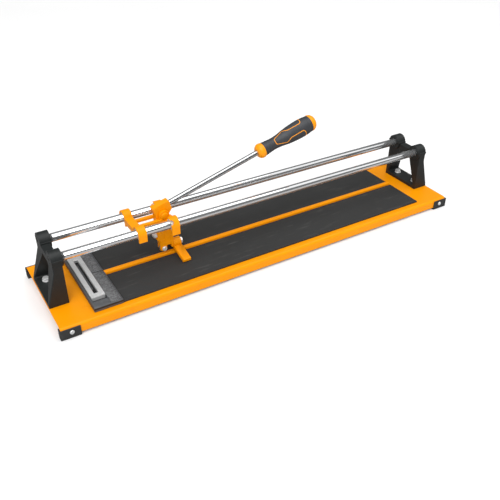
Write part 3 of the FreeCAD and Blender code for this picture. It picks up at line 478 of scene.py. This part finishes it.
def threaded(start, axis, radius, length, pitch=0.001, sides=36):
    """A rolled thread's free end: round the axis the radius waves by a tenth, once every pitch of height,
    and the crest climbs one pitch in a turn. The end is a blunt cone."""
    rows = max(int(length / pitch * 6), 8)
    height = np.linspace(0.0, length, rows)[:, None] * np.ones((1, sides))
    angle = np.linspace(0.0, 1.0, sides, endpoint=False)[None]
    wave = np.cos(2 * math.pi * (height / pitch - angle))
    reach = radius * (0.95 + 0.05 * wave)
    tip = np.clip((length - height) / (pitch * 0.8), 0.0, 1.0)
    reach = reach * (0.8 + 0.2 * tip)
    closed_height = np.concatenate([height, height[-1:]])
    closed_reach = np.concatenate([reach, np.zeros((1, sides))])
    return stacked(closed_height, closed_reach, start, axis)


bolt_low, bolt_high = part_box("bracket_bolts")
washer_low, washer_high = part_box("bracket_washers")
nut_low, nut_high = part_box("bracket_nuts")
bolt_parts, washer_parts, nut_parts = [], [], []
up, down = (0.0, 0.0, 1.0), (0.0, 0.0, -1.0)
for bolt_x in (washer_low.x + 0.0062, washer_high.x - 0.0062):
    for bolt_y in (washer_low.y + 0.0062, washer_high.y - 0.0062):
        twist = bolt_x * 40 + bolt_y * 25
        bolt_parts.append(hex_piece((bolt_x, bolt_y, washer_high.z), up, 0.0098,
                                    bolt_high.z - washer_high.z, twist=twist))
        bolt_parts.append(threaded((bolt_x, bolt_y, nut_low.z), down, 0.003, nut_low.z - bolt_low.z))
        washer_parts.append(turned([(0.0, 0.0034), (0.0, 0.0060), (0.0003, 0.0062), (0.0012, 0.0062),
                                    (0.0015, 0.0060), (0.0015, 0.0034), (0.0, 0.0034)],
                                   (bolt_x, bolt_y, washer_low.z), up))
        nut_parts.append(hex_piece((bolt_x, bolt_y, nut_high.z), down, 0.0098, nut_high.z - nut_low.z,
                                   (False, True), 0.003, twist))
show("bracket_bolt_heads", grid_mesh("bracket_bolt_heads", bolt_parts, 30.0),
     "base", zinc, ("bracket_bolts",))
show("bracket_washer_rings", grid_mesh("bracket_washer_rings", washer_parts, 30.0),
     "base", zinc, ("bracket_washers",))
show("bracket_nut_set", grid_mesh("bracket_nut_set", nut_parts, 30.0),
     "base", zinc, ("bracket_nuts",))


# ---------------------------------------------------------------- guide rails
# Two steel tubes, 14 mm across, hard chromed and polished so that the carriage's bushes run freely. A
# plug is pressed into each end, and a black socket screw through the bracket's boss holds it.

def polished_chrome():
    """Chrome: very smooth, with faint wipe marks and polishing lines round the tube."""
    finish = Finish("polished chrome")
    lines = finish.noise(1.0, 2.0, 0.5, finish.place((2400.0, 40.0, 40.0)))
    smear = finish.noise(1.0, 4.0, 0.6, finish.place((12.0, 60.0, 60.0))).over(0.45, 0.8)
    colour = finish.colour(smear * 0.5, (0.83, 0.84, 0.85, 1.0), (0.74, 0.75, 0.76, 1.0))
    return finish.done(colour, 0.05 + smear * 0.10 + lines * 0.03, lines, 0.00001, 0.10, Metallic=0.88)


chrome = polished_chrome()
for rail in ("front_rail", "back_rail"):
    low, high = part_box(rail)
    radius = (high.z - low.z) / 2
    start = (low.x, (low.y + high.y) / 2, (low.z + high.z) / 2)
    length = high.x - low.x
    bore = radius - 0.0015
    profile = [(0.0, bore), (0.0, radius - 0.0004), (0.0004, radius), (length - 0.0004, radius),
               (length, radius - 0.0004), (length, bore), (0.0, bore)]
    show(rail + "_tube", grid_mesh(rail + "_tube", [turned(profile, start, (1.0, 0.0, 0.0), 96)], 50.0),
         "base", chrome, (rail,))


def black_oxide():
    """Black oxide on steel: near black, oily, with brown-grey rubbed crests."""
    finish = Finish("black oxide")
    cloud = finish.noise(330.0, 4.0, 0.6)
    fine = finish.noise(2800.0, 2.0)
    colour = finish.colour(cloud.over(0.4, 0.8), (0.022, 0.022, 0.022, 1.0), (0.075, 0.07, 0.062, 1.0))
    return finish.done(colour, 0.30 + cloud * 0.2, fine, 0.00004, 0.35, Metallic=0.6)


black_steel = black_oxide()


def socket_head(start, axis, radius, height, key, sides=72):
    """A socket cap head: a cylinder with a broken edge and a hexagonal hole, whose radius is half the
    key over the cosine of the angle from the nearest flat's middle, with a dished floor."""
    angle = np.linspace(0.0, 2 * math.pi, sides, endpoint=False)
    hexagon = key / 2 / np.cos((angle + math.pi / 6) % (math.pi / 3) - math.pi / 6)
    one = np.ones(sides)
    rows = [(0.0 * one, 0.0 * one), (0.0 * one, radius * one), (height * one - 0.0005, radius * one),
            (height * one, radius * one - 0.0005), (height * one, hexagon + 0.0002),
            (height * one - 0.0003, hexagon), (height * one * 0.4, hexagon),
            (height * 0.3 * one, 0.0 * one)]
    return stacked(np.array([r[0] for r in rows]), np.array([r[1] for r in rows]), start, axis)


plug_low, plug_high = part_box("rail_end_screws")
end_parts = []
for rail in ("front_rail", "back_rail"):
    low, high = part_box(rail)
    for side, face in ((-1.0, plug_low.x), (1.0, plug_high.x)):
        place = (face - side * 0.0037, (low.y + high.y) / 2, (low.z + high.z) / 2)
        end_parts.append(socket_head(place, (side, 0.0, 0.0), 0.005, 0.0037, 0.005))
show("rail_end_screw_heads", grid_mesh("rail_end_screw_heads", end_parts, 30.0),
     "base", black_steel, ("rail_end_screws",))
softened("rail_end_plugs", 0.0003, "base", zinc)


# ---------------------------------------------------------------- side stop
# A grey painted block screwed to the plate at the left, square to the cutting line. A slotted alloy
# frame slides in its channel to set the tile's edge, and two alloy scale strips with engraved ticks
# lie beside it, one each side of the groove that the wheel runs into.

def stop_paint():
    """Dark grey paint with a light hammered unevenness, and painted shade: a nearly black band at the
    height of the slider's channel.
    """
    finish = Finish("stop paint")
    sand = finish.noise(1000.0, 3.0, 0.6)
    swell = finish.noise(210.0, 2.0)
    rub = finish.noise(55.0, 4.0, 0.6).over(0.5, 0.8)
    dark = finish.colour(sand, (0.05, 0.053, 0.057, 1.0), (0.085, 0.088, 0.094, 1.0))
    worn = finish.colour(rub * 0.4, dark, (0.14, 0.143, 0.15, 1.0))
    # Painted shade: from about 23.5 to 26.5 mm up, where the slider's channel runs, the colour goes nearly
    # black to stand in for the shade inside the channel.
    height = finish.along("Z")
    channel = (height.over(0.0262, 0.0270) - 1.0) * (0.0 - height.over(0.0232, 0.0238))
    colour = finish.colour(channel * 0.9, worn, (0.006, 0.006, 0.006, 1.0))
    return finish.done(colour, 0.42 + sand * 0.12, sand * 0.6 + swell * 0.6, 0.00014, 0.4)


def blasted_alloy():
    """Bead blasted aluminium: pale, with sparkling grains and a few handling marks."""
    finish = Finish("blasted alloy")
    grain = finish.noise(1500.0, 3.0, 0.7)
    specks = finish.grains(1200.0).over(0.12, 0.5)
    marks = finish.scratches((0.0, 0.0, 1.2), 0.03)
    pale = finish.colour(grain, (0.56, 0.565, 0.57, 1.0), (0.92, 0.92, 0.91, 1.0))
    colour = finish.colour(specks * 0.3, pale, (0.62, 0.625, 0.63, 1.0))
    return finish.done(colour, 0.36 + grain * 0.18 + marks * 0.1, grain * 0.8 + specks * 0.3,
                       0.00012, 0.5, Metallic=0.55)


strip_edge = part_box("front_stop_strip")[1].x


def scale_alloy():
    """Grey anodised strip: engraved ticks across it every two millimetres and longer ones every ten.
    A tick is where the fraction of y over its spacing lies within its width of a whole number."""
    finish = Finish("scale alloy")
    grain = finish.noise(1400.0, 3.0, 0.7)
    wear = finish.noise(70.0, 4.0, 0.6).over(0.45, 0.8)
    y = finish.along("Y") - 0.006
    x = finish.along("X") - strip_edge
    ticks = None
    for spacing, width, reach in ((0.002, 0.11, 0.0035), (0.01, 0.035, 0.0085)):
        near = ((y / spacing + 0.5).fraction() - 0.5).size().below(width)
        tick = near * (0.0 - x).below(reach)
        ticks = tick if ticks is None else ticks.maths("MAXIMUM", ticks, tick)
    speck = finish.noise(420.0, 2.0, 0.7).over(0.42, 0.62)
    plain = finish.colour(grain, (0.07, 0.072, 0.076, 1.0), (0.17, 0.173, 0.178, 1.0))
    blotched = finish.colour(speck * 0.55, plain, (0.30, 0.305, 0.31, 1.0))
    worn = finish.colour(wear * 0.4, blotched, (0.33, 0.335, 0.34, 1.0))
    colour = finish.colour(ticks * 0.85, worn, (0.02, 0.02, 0.021, 1.0))
    return finish.done(colour, 0.40 + grain * 0.16, grain * 0.7 - ticks * 0.9, 0.00014, 0.5, Metallic=0.45)


stop_grey = stop_paint()
slider_alloy = blasted_alloy()
strip_alloy = scale_alloy()
softened("stop_base", 0.0006, "base", stop_grey)
softened("stop_slider", 0.0009, "stop", slider_alloy, 3, windowed=True)
softened("front_stop_strip", 0.0003, "base", strip_alloy)
softened("back_stop_strip", 0.0003, "base", strip_alloy)
stop_low, stop_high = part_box("stop_screws")
stop_parts = []
for screw_y in (stop_low.y + 0.0038, stop_high.y - 0.0038):
    place = ((stop_low.x + stop_high.x) / 2, screw_y, stop_low.z + 0.002)
    stop_parts.append(pan_head(place, (0.0, 0.0, -1.0), 0.0037, 0.0019))
show("stop_screw_heads", grid_mesh("stop_screw_heads", stop_parts, 30.0),
     "base", zinc, ("stop_screws",))


# ---------------------------------------------------------------- carriage
# An H-shaped casting, powder coated like the base, that hooks over both rails at four places. Split
# acetal bushes in the hooks run on the chrome, and a headed pin with a clip carries the lever.

softened("carriage_saddle", 0.0005, "carriage", orange_coat, 3, 32.0)


def acetal():
    """Turned natural acetal: pale grey, waxy, with faint turning lines along the bush."""
    finish = Finish("natural acetal")
    lines = finish.noise(1.0, 2.0, 0.5, finish.place((2500.0, 200.0, 200.0)))
    colour = finish.colour(lines, (0.40, 0.395, 0.37, 1.0), (0.55, 0.545, 0.52, 1.0))
    return finish.done(colour, 0.38 + lines * 0.1, lines, 0.00004, 0.3)


bush_plastic = acetal()
softened("slide_bushes", 0.0002, "carriage", bush_plastic, 2, 40.0)
pin_low, pin_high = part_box("pivot_pin")
pin_centre = ((pin_low.x + pin_high.x) / 2, pin_low.y, (pin_low.z + pin_high.z) / 2)
pin_length = pin_high.y - pin_low.y
pin_profile = [(0.0, 0.0), (0.0, 0.0048), (0.0004, 0.0056), (0.0010, 0.0060), (0.0025, 0.0060),
               (0.0025, 0.0040), (pin_length - 0.0021, 0.0040), (pin_length - 0.0020, 0.0035),
               (pin_length - 0.0012, 0.0035), (pin_length - 0.0011, 0.0040),
               (pin_length - 0.0005, 0.0040), (pin_length, 0.0035), (pin_length, 0.0)]
show("pivot_pin_turned", grid_mesh("pivot_pin_turned", [
    turned(pin_profile, pin_centre, (0.0, 1.0, 0.0))], 30.0),
     "carriage", orange_coat, ("pivot_pin",))
softened("pivot_clip", 0.0002, "carriage", black_steel)


# ---------------------------------------------------------------- lever, wheel holder and breaker foot
# Three orange coated castings bolted together: the lever's head turns on the pivot pin, the holder below
# it carries the scoring wheel between its cheeks, and the winged foot presses the tile until it snaps.

for casting in ("lever_head", "wheel_holder", "breaker_foot"):
    softened(casting, 0.0005, "lever", orange_coat, 3, 32.0)

holder_low, holder_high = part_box("holder_bolt")
holder_nut_low, holder_nut_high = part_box("holder_nut")
bolt_y = (holder_low.y + holder_high.y) / 2
bolt_z = (holder_low.z + holder_high.z) / 2
show("holder_bolt_set", grid_mesh("holder_bolt_set", [
    hex_piece((holder_high.x - 0.004, bolt_y, bolt_z), (1.0, 0.0, 0.0), 0.0098, 0.004, twist=0.3),
    threaded((holder_nut_low.x, bolt_y, bolt_z), (-1.0, 0.0, 0.0), 0.003, holder_nut_low.x - holder_low.x),
], 30.0), "lever", zinc, ("holder_bolt",))
show("holder_nut_set", grid_mesh("holder_nut_set", [
    hex_piece((holder_nut_high.x, bolt_y, bolt_z), (-1.0, 0.0, 0.0), 0.0098,
              holder_nut_high.x - holder_nut_low.x, (False, True), 0.003, 0.2),
], 30.0), "lever", zinc, ("holder_nut",))
breaker_low, breaker_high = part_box("breaker_bolt")
breaker_y = (breaker_low.y + breaker_high.y) / 2
breaker_z = (breaker_low.z + breaker_high.z) / 2
show("breaker_bolt_head", grid_mesh("breaker_bolt_head", [
    hex_piece((breaker_high.x - 0.004, breaker_y, breaker_z), (1.0, 0.0, 0.0), 0.0098, 0.004, twist=0.1),
], 30.0), "lever", zinc, ("breaker_bolt",))


def hard_metal():
    """Ground hard metal: dark bright grey, with grinding lines round the axle."""
    finish = Finish("hard metal")
    centre = finish.place(shift=(0.179, 0.0, -0.0375))
    x = finish.along("X", centre)
    z = finish.along("Z", centre)
    reach = (x * x + z * z) ** 0.5
    rings = finish.node("ShaderNodeTexNoise", {"noise_dimensions": "1D"},
                        {"W": reach, "Scale": 9000.0, "Detail": 2.0}, "Fac")
    colour = finish.colour(rings, (0.33, 0.335, 0.345, 1.0), (0.58, 0.585, 0.59, 1.0))
    return finish.done(colour, 0.20 + rings * 0.15, rings, 0.00002, 0.3, Metallic=1.0)


wheel_low, wheel_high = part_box("scoring_wheel")
wheel_half = (wheel_high.y - wheel_low.y) / 2
wheel_radius = (wheel_high.z - wheel_low.z) / 2
wheel_centre = ((wheel_low.x + wheel_high.x) / 2, wheel_low.y, (wheel_low.z + wheel_high.z) / 2)
wheel_profile = [(0.0, 0.0031), (0.0, 0.0048), (0.00015, 0.0050), (0.0, 0.0052), (0.0, 0.0058),
                 (wheel_half - 0.0001, wheel_radius), (wheel_half + 0.0001, wheel_radius),
                 (wheel_half * 2, 0.0058), (wheel_half * 2, 0.0052), (wheel_half * 2 - 0.00015, 0.0050),
                 (wheel_half * 2, 0.0048), (wheel_half * 2, 0.0031), (0.0, 0.0031)]
show("scoring_wheel_ground", grid_mesh("scoring_wheel_ground", [
    turned(wheel_profile, wheel_centre, (0.0, 1.0, 0.0), 96)], 20.0),
    "wheel", hard_metal(), ("scoring_wheel",))
axle_low, axle_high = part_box("wheel_axle")
axle_nut_low, axle_nut_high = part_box("axle_nut")
axle_face = (wheel_centre[0], axle_low.y + 0.0025, wheel_centre[2])
show("wheel_axle_screw", grid_mesh("wheel_axle_screw", [
    pan_head(axle_face, (0.0, -1.0, 0.0), 0.0045, 0.0025),
    turned([(0.0, 0.0), (0.0, 0.003), (0.012, 0.003), (0.012, 0.0)], axle_face, (0.0, 1.0, 0.0)),
    threaded((axle_face[0], axle_nut_high.y - 0.0005, axle_face[2]), (0.0, 1.0, 0.0), 0.0029,
             axle_high.y - axle_nut_high.y + 0.0005, 0.0008),
], 30.0), "lever", zinc, ("wheel_axle",))
show("axle_nut_set", grid_mesh("axle_nut_set", [
    hex_piece((axle_face[0], axle_nut_low.y, axle_face[2]), (0.0, 1.0, 0.0), 0.0082,
              axle_nut_high.y - axle_nut_low.y, (False, True), 0.003, 0.0),
], 30.0), "lever", zinc, ("axle_nut",))


# ---------------------------------------------------------------- handle
# A plated steel rod screwed into the lever's head, with a two-shot grip on its far end: an orange
# plastic core with a collar and a domed cap, and dark rubber moulded over it, which leaves a raised
# orange line showing round a panel on each side. The rubber has finger rings at its neck.

rod_low, rod_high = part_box("handle_rod")
lever_slope = math.radians(16.2)
rod_along = np.array([math.cos(lever_slope), 0.0, math.sin(lever_slope)])
rod_above = np.array([-math.sin(lever_slope), 0.0, math.cos(lever_slope)])
rod_radius = (rod_high.y - rod_low.y) / 2
rod_middle_y = (rod_low.y + rod_high.y) / 2
rod_start = np.array([rod_low.x + rod_radius * math.sin(lever_slope), rod_middle_y,
                      rod_low.z + rod_radius * math.cos(lever_slope)])
rod_end = np.array([rod_high.x - rod_radius * math.sin(lever_slope), rod_middle_y,
                    rod_high.z - rod_radius * math.cos(lever_slope)])
rod_length = float(np.linalg.norm(rod_end - rod_start))


def drawn_steel():
    """Drawn and plated rod: drawing lines along its length, a little cloudy."""
    finish = Finish("drawn rod")
    along_rod = finish.place((30.0, 1900.0, 1900.0), (0.0, lever_slope, 0.0))
    lines = finish.noise(1.0, 2.0, 0.5, along_rod)
    cloud = finish.noise(90.0, 4.0, 0.6)
    colour = finish.colour(lines, (0.50, 0.51, 0.52, 1.0), (0.74, 0.745, 0.75, 1.0))
    return finish.done(colour, 0.16 + cloud * 0.14 + lines * 0.06, lines, 0.00002, 0.3, Metallic=1.0)


rod_profile = [(0.0, 0.0), (0.0, rod_radius - 0.001), (0.001, rod_radius), (rod_length - 0.001, rod_radius),
               (rod_length, rod_radius - 0.001), (rod_length, 0.0)]
show("handle_rod_drawn", grid_mesh("handle_rod_drawn", [turned(rod_profile, rod_start, rod_along, 64)]),
     "lever", drawn_steel(), ("handle_rod",))


def moulded_orange():
    """Orange moulded plastic: even colour, semi gloss, with a very fine etched grain."""
    finish = Finish("moulded orange")
    grain = finish.noise(2200.0, 2.0, 0.6)
    broad = finish.noise(70.0, 3.0)
    rub = finish.noise(240.0, 4.0, 0.7).over(0.55, 0.85)
    even = finish.colour(broad, (0.82, 0.27, 0.0, 1.0), (0.88, 0.32, 0.001, 1.0))
    colour = finish.colour(rub * 0.15, even, (0.45, 0.18, 0.04, 1.0))
    return finish.done(colour, 0.30 + grain * 0.08 + rub * 0.12, grain, 0.00004, 0.35,
                       Specular_IOR_Level=0.3)


orange_plastic = moulded_orange()

collar_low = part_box("handle_ferrule")[0]
collar_nose = 0.0091  # the CAD collar's radius at its front end
collar_length = 0.0125
collar_x = collar_low.x + collar_nose * math.sin(lever_slope)
ferrule_start = rod_start + rod_along * (collar_x - rod_start[0]) / math.cos(lever_slope)


def smooth_profile(stations, count):
    """A profile through a few (distance, radius) stations: between two of them the radius follows a cubic
    whose slope at each station is that of its neighbours, and points are spaced evenly."""
    stations = np.asarray(stations, float)
    x, y = stations.T
    slope = np.gradient(y, x)
    at = np.linspace(x[0], x[-1], count)
    i = np.clip(np.searchsorted(x, at, side="right") - 1, 0, len(x) - 2)
    step = x[i + 1] - x[i]
    t = (at - x[i]) / step
    value = ((2 * t ** 3 - 3 * t ** 2 + 1) * y[i] + (t ** 3 - 2 * t ** 2 + t) * step * slope[i]
             + (3 * t ** 2 - 2 * t ** 3) * y[i + 1] + (t ** 3 - t ** 2) * step * slope[i + 1])
    return np.stack([at, value], -1)


ferrule_profile = [(0.0, 0.0047), (0.0, 0.0080), (0.0004, 0.0089), (0.0022, 0.0110), (0.0042, 0.0124),
                   (0.0062, 0.0129), (0.0080, 0.0130), (0.0100, 0.0129), (0.0113, 0.0126), (0.0118, 0.0120),
                   (collar_length, 0.0119), (collar_length, 0.0047), (0.0, 0.0047)]
show("handle_collar", grid_mesh("handle_collar", [
    turned(ferrule_profile, ferrule_start, rod_along, 96)], 50.0),
     "lever", orange_plastic, ("handle_ferrule",))
grip_length = 0.098
grip_start = ferrule_start + rod_along * collar_length
cap_start = grip_start + rod_along * grip_length
cap_profile = [(0.0, 0.0), (0.0, 0.0140), (0.0006, 0.0146), (0.0025, 0.01465), (0.0045, 0.0140),
               (0.0068, 0.0129), (0.0088, 0.0111), (0.0104, 0.0087), (0.0116, 0.0058), (0.0122, 0.0035),
               (0.0124, 0.0028), (0.0119, 0.0022), (0.0119, 0.0)]
show("handle_cap_dome", grid_mesh("handle_cap_dome", [turned(cap_profile, cap_start, rod_along, 96)], 40.0),
     "lever", orange_plastic, ("handle_end_cap",))

panel_angle = math.radians(40.0)
toward_panel = -math.cos(panel_angle) * np.array([0.0, 1.0, 0.0]) + math.sin(panel_angle) * rod_above
beside_panel = np.cross(rod_along, toward_panel)
grip_stations = [(0.0, 0.0120), (0.0100, 0.0113), (0.0220, 0.0104), (0.0350, 0.0115), (0.0490, 0.0138),
                 (0.0650, 0.0152), (0.0810, 0.0158), (0.0900, 0.0153), (grip_length, 0.0143)]
half_outline = np.array([(0.0225, 0.0), (0.0232, 30.0), (0.0425, 58.0), (0.0515, 31.0), (0.0770, 26.0),
                         (0.0800, 38.0), (0.0812, 58.0), (0.0812, 90.0)])


def grip_radius(distance, angle):
    """The rubber's radius at a distance from its start and an angle from the panel's middle: the waisted
    profile, less three rings at the neck, a shallow groove before the cap, a flat on each panel,
    and soft flutes between the panels."""
    base = np.interp(distance, *smooth_profile(grip_stations, 200).T)
    rings = sum(np.exp(-((distance - at) / 0.0011) ** 2) for at in (0.0075, 0.0125, 0.0175))
    cap_groove = np.exp(-((distance - 0.0935) / 0.0008) ** 2)
    middle = np.exp(-((distance - 0.062) / 0.026) ** 2)
    flat = 0.0007 * middle * np.cos(angle) ** 2
    flutes = 0.0004 * middle * np.clip(-np.cos(2 * angle), 0.0, 1.0) * np.cos(12 * angle)
    return base - 0.00055 * rings - 0.0006 * cap_groove - flat - flutes


def around_grip(distance, angle, lift):
    """A point over the rubber: along the rod by distance, out by the rubber's radius and the lift."""
    reach = grip_radius(distance, angle) + lift
    ring = np.cos(angle)[..., None] * toward_panel + np.sin(angle)[..., None] * beside_panel
    return grip_start + distance[..., None] * rod_along + reach[..., None] * ring


distances = np.linspace(0.0, grip_length, 160)[:, None] * np.ones((1, 144))
angles = np.ones((160, 1)) * np.linspace(0.0, 2 * math.pi, 144, endpoint=False)[None]
rubber = around_grip(distances, angles, 0.0)
core_ring = grip_start + 0.0081 * (rubber[:1] - grip_start) / np.linalg.norm(
    rubber[:1] - grip_start, axis=-1, keepdims=True)
far_end = grip_start + rod_along * grip_length
core_far = far_end + 0.0081 * (rubber[-1:] - far_end) / np.linalg.norm(
    rubber[-1:] - far_end, axis=-1, keepdims=True)
rubber = np.concatenate([core_ring, rubber, core_far, core_ring])


def grip_rubber():
    """Soft overmoulded rubber: dark slate grey, silky, fingermarked, with a fine leather-like grain."""
    finish = Finish("grip rubber")
    grain = finish.noise(1700.0, 3.0, 0.6)
    cells = finish.grains(1300.0).over(0.1, 0.6)
    hand = finish.noise(48.0, 4.0, 0.6).over(0.45, 0.75)
    dark = finish.colour(grain, (0.024, 0.026, 0.030, 1.0), (0.046, 0.049, 0.055, 1.0))
    colour = finish.colour(hand * 0.25, dark, (0.065, 0.066, 0.068, 1.0))
    return finish.done(colour, 0.46 + grain * 0.12 - hand * 0.08, cells * 0.5 + grain * 0.5, 0.0001, 0.4,
                       Specular_IOR_Level=0.4)


soft_grip = grip_rubber()
show("handle_grip_rubber", grid_mesh("handle_grip_rubber", [rubber], 60.0),
     "lever", soft_grip, ("handle_grip",))


unroll_radius = 0.014  # an angle round the grip becomes a length at this radius


def raised_line(outline, turn, half_width, lift):
    """A line raised from the rubber along an outline of (distance, angle in degrees): at each step its
    section is half a rounded bar, as wide as it says, sunk at both sides and lift high at its crest."""
    outline = np.asarray(outline, float)
    at = np.stack([outline[:, 0], np.radians(outline[:, 1]) * unroll_radius], -1)
    length = np.concatenate([[0.0], np.cumsum(np.linalg.norm(np.diff(at, axis=0), axis=1))])
    count = 12 + int(length[-1] / 0.0008)
    steps = np.linspace(0.0, length[-1], count)
    line = np.stack([np.interp(steps, length, at[:, 0]), np.interp(steps, length, at[:, 1])], -1)
    soft = np.ones(7) / 7
    padded = np.pad(line, ((3, 3), (0, 0)), "edge")
    line = np.stack([np.convolve(padded[:, k], soft, "valid") for k in (0, 1)], -1)
    way = np.gradient(line, axis=0)
    way /= np.linalg.norm(way, axis=1, keepdims=True)
    aside = np.stack([-way[:, 1], way[:, 0]], -1)
    round_section = np.linspace(0.0, 2 * math.pi, 12, endpoint=False)
    across = np.cos(round_section) * half_width
    height = np.sin(round_section) * (lift + 0.0012) - 0.0012
    spread = line[:, None] + aside[:, None] * across[None, :, None]
    grid = around_grip(spread[..., 0], spread[..., 1] / unroll_radius + turn,
                       height[None] * np.ones((count, 1)))
    ends = [grid[:1].mean(1, keepdims=True) * np.ones((1, 12, 1)), grid,
            grid[-1:].mean(1, keepdims=True) * np.ones((1, 12, 1))]
    return np.concatenate(ends)


panel_outline = np.concatenate([half_outline[::-1] * (1, -1), half_outline[1:]])
panel_lines = [raised_line(panel_outline, turn, 0.00105, 0.00035) for turn in (0.0, math.pi)]
show("handle_panel_lines", grid_mesh("handle_panel_lines", panel_lines, 60.0),
     "lever", orange_plastic)
bars = [raised_line([(at, -17.0), (at + 0.003, 17.0)], turn, 0.0007, 0.0003)
        for at in (0.0560, 0.0600, 0.0640, 0.0680, 0.0720) for turn in (0.0, math.pi)]
show("handle_panel_bars", grid_mesh("handle_panel_bars", bars, 60.0), "lever", soft_grip)


def inner_plastic():
    """Plain dark plastic of the core under the rubber."""
    finish = Finish("core plastic")
    grain = finish.noise(1200.0, 2.0)
    colour = finish.colour(grain, (0.04, 0.04, 0.04, 1.0), (0.07, 0.07, 0.07, 1.0))
    return finish.done(colour, 0.5 + grain * 0.1, grain, 0.00005, 0.3)


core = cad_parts["handle_core"]
core.data.materials.clear()
core.data.materials.append(inner_plastic())


# ---------------------------------------------------------------- floor, light and camera
# A plain pale studio floor, a broad soft light overhead and a soft key light from the front left. The
# surround is even, but what mirrors it sees a long bright band above the bench between dark walls: its
# tone goes by the angle round the X axis, from the horizon behind (0) over the top to the front (1).

floor_points = np.array([(-6.0, -6.0, 0.0), (6.0, -6.0, 0.0), (6.0, 6.0, 0.0), (-6.0, 6.0, 0.0)])
floor_mesh = bpy.data.meshes.new("studio_floor")
floor_mesh.from_pydata(floor_points.tolist(), [], [(0, 1, 2, 3)])
floor = bpy.data.objects.new("studio_floor", floor_mesh)
bpy.context.scene.collection.objects.link(floor)
floor_finish = Finish("studio floor")
floor_tone = floor_finish.noise(3.0, 2.0)
floor_pale = floor_finish.colour(floor_tone, (0.80, 0.80, 0.80, 1.0), (0.83, 0.83, 0.83, 1.0))
# Painted reflection: rays that mirror the floor see it as a darker grey (0.30) than the camera does, so
# chrome and glossy paint show a dark floor.
painted_reflection_mask = floor_finish.node("ShaderNodeLightPath", {}, {}, "Is Glossy Ray")
floor_mesh.materials.append(floor_finish.done(
    floor_finish.colour(painted_reflection_mask, floor_pale, (0.30, 0.30, 0.30, 1.0)), 0.7 + floor_tone * 0.05,
    Specular_IOR_Level=0.2))


def soft_light(name, place, aim, width, height, power):
    """A rectangular area light at a place, turned to face a point."""
    data = bpy.data.lights.new(name, "AREA")
    data.shape = "RECTANGLE"
    data.size = width
    data.size_y = height
    data.energy = power
    lamp = bpy.data.objects.new(name, data)
    lamp.location = place
    lamp.rotation_euler = (Vector(aim) - Vector(place)).to_track_quat("-Z", "Y").to_euler()
    bpy.context.scene.collection.objects.link(lamp)


soft_light("overhead", (0.0, -0.2, 2.0), (0.0, 0.0, 0.0), 2.8, 1.1, 18.0)
sun_data = bpy.data.lights.new("key", "SUN")
sun_data.energy = 1.7
sun_data.angle = math.radians(38.0)
sun = bpy.data.objects.new("key", sun_data)
sun.rotation_euler = Vector((0.42, 0.62, -0.78)).to_track_quat("-Z", "Y").to_euler()
bpy.context.scene.collection.objects.link(sun)

world = bpy.data.worlds.new("surround")
bpy.context.scene.world = world
world.use_nodes = True
sky = world.node_tree
sky_place = sky.nodes.new("ShaderNodeTexCoord")
sky_parts = sky.nodes.new("ShaderNodeSeparateXYZ")
sky_turn = sky.nodes.new("ShaderNodeMath")
sky_turn.operation = "ARCTAN2"
sky_share = sky.nodes.new("ShaderNodeMath")
sky_share.operation = "DIVIDE"
sky_share.inputs[1].default_value = math.pi
sky_ramp = sky.nodes.new("ShaderNodeValToRGB")
sky_rays = sky.nodes.new("ShaderNodeLightPath")
sky_mix = sky.nodes.new("ShaderNodeMix")
sky_mix.data_type = "RGBA"
sky.links.new(sky_place.outputs["Generated"], sky_parts.inputs[0])
sky.links.new(sky_parts.outputs["Z"], sky_turn.inputs[0])
sky.links.new(sky_parts.outputs["Y"], sky_turn.inputs[1])
sky.links.new(sky_turn.outputs[0], sky_share.inputs[0])
sky.links.new(sky_share.outputs[0], sky_ramp.inputs["Fac"])
for step, (share, tone) in enumerate([(0.0, 0.10), (0.33, 0.13), (0.37, 1.1), (0.65, 1.1), (0.70, 0.45),
                                      (0.76, 0.05), (1.0, 0.04)]):
    stops = sky_ramp.color_ramp.elements
    stop = stops[step] if step < 2 else stops.new(share)
    stop.position = share
    stop.color = (tone, tone, tone, 1.0)
sky.links.new(sky_rays.outputs["Is Glossy Ray"], sky_mix.inputs["Factor"])
sky_mix.inputs[6].default_value = (0.80, 0.80, 0.80, 1.0)
sky.links.new(sky_ramp.outputs["Color"], sky_mix.inputs[7])
sky.links.new(sky_mix.outputs[2], sky.nodes["Background"].inputs["Color"])
sky.nodes["Background"].inputs["Strength"].default_value = 0.95

view_right = Vector((0.8539, -0.5203, 0.0114))
view_up = Vector((0.2857, 0.4869, 0.8254))
view_back = -Vector((0.4350, 0.7016, -0.5644))
camera_data = bpy.data.cameras.new("camera")
camera_data.lens = 45.3
camera_data.sensor_width = 36.0
camera = bpy.data.objects.new("camera", camera_data)
camera.matrix_world = Matrix.Translation((-0.5191, -0.8218, 0.6369)) @ Matrix(
    (view_right, view_up, view_back)).transposed().to_4x4()
bpy.context.scene.collection.objects.link(camera)
bpy.context.scene.camera = camera
bpy.context.scene.view_settings.view_transform = "Standard"
bpy.context.scene.view_settings.look = "None"

bpy.context.view_layer.update()
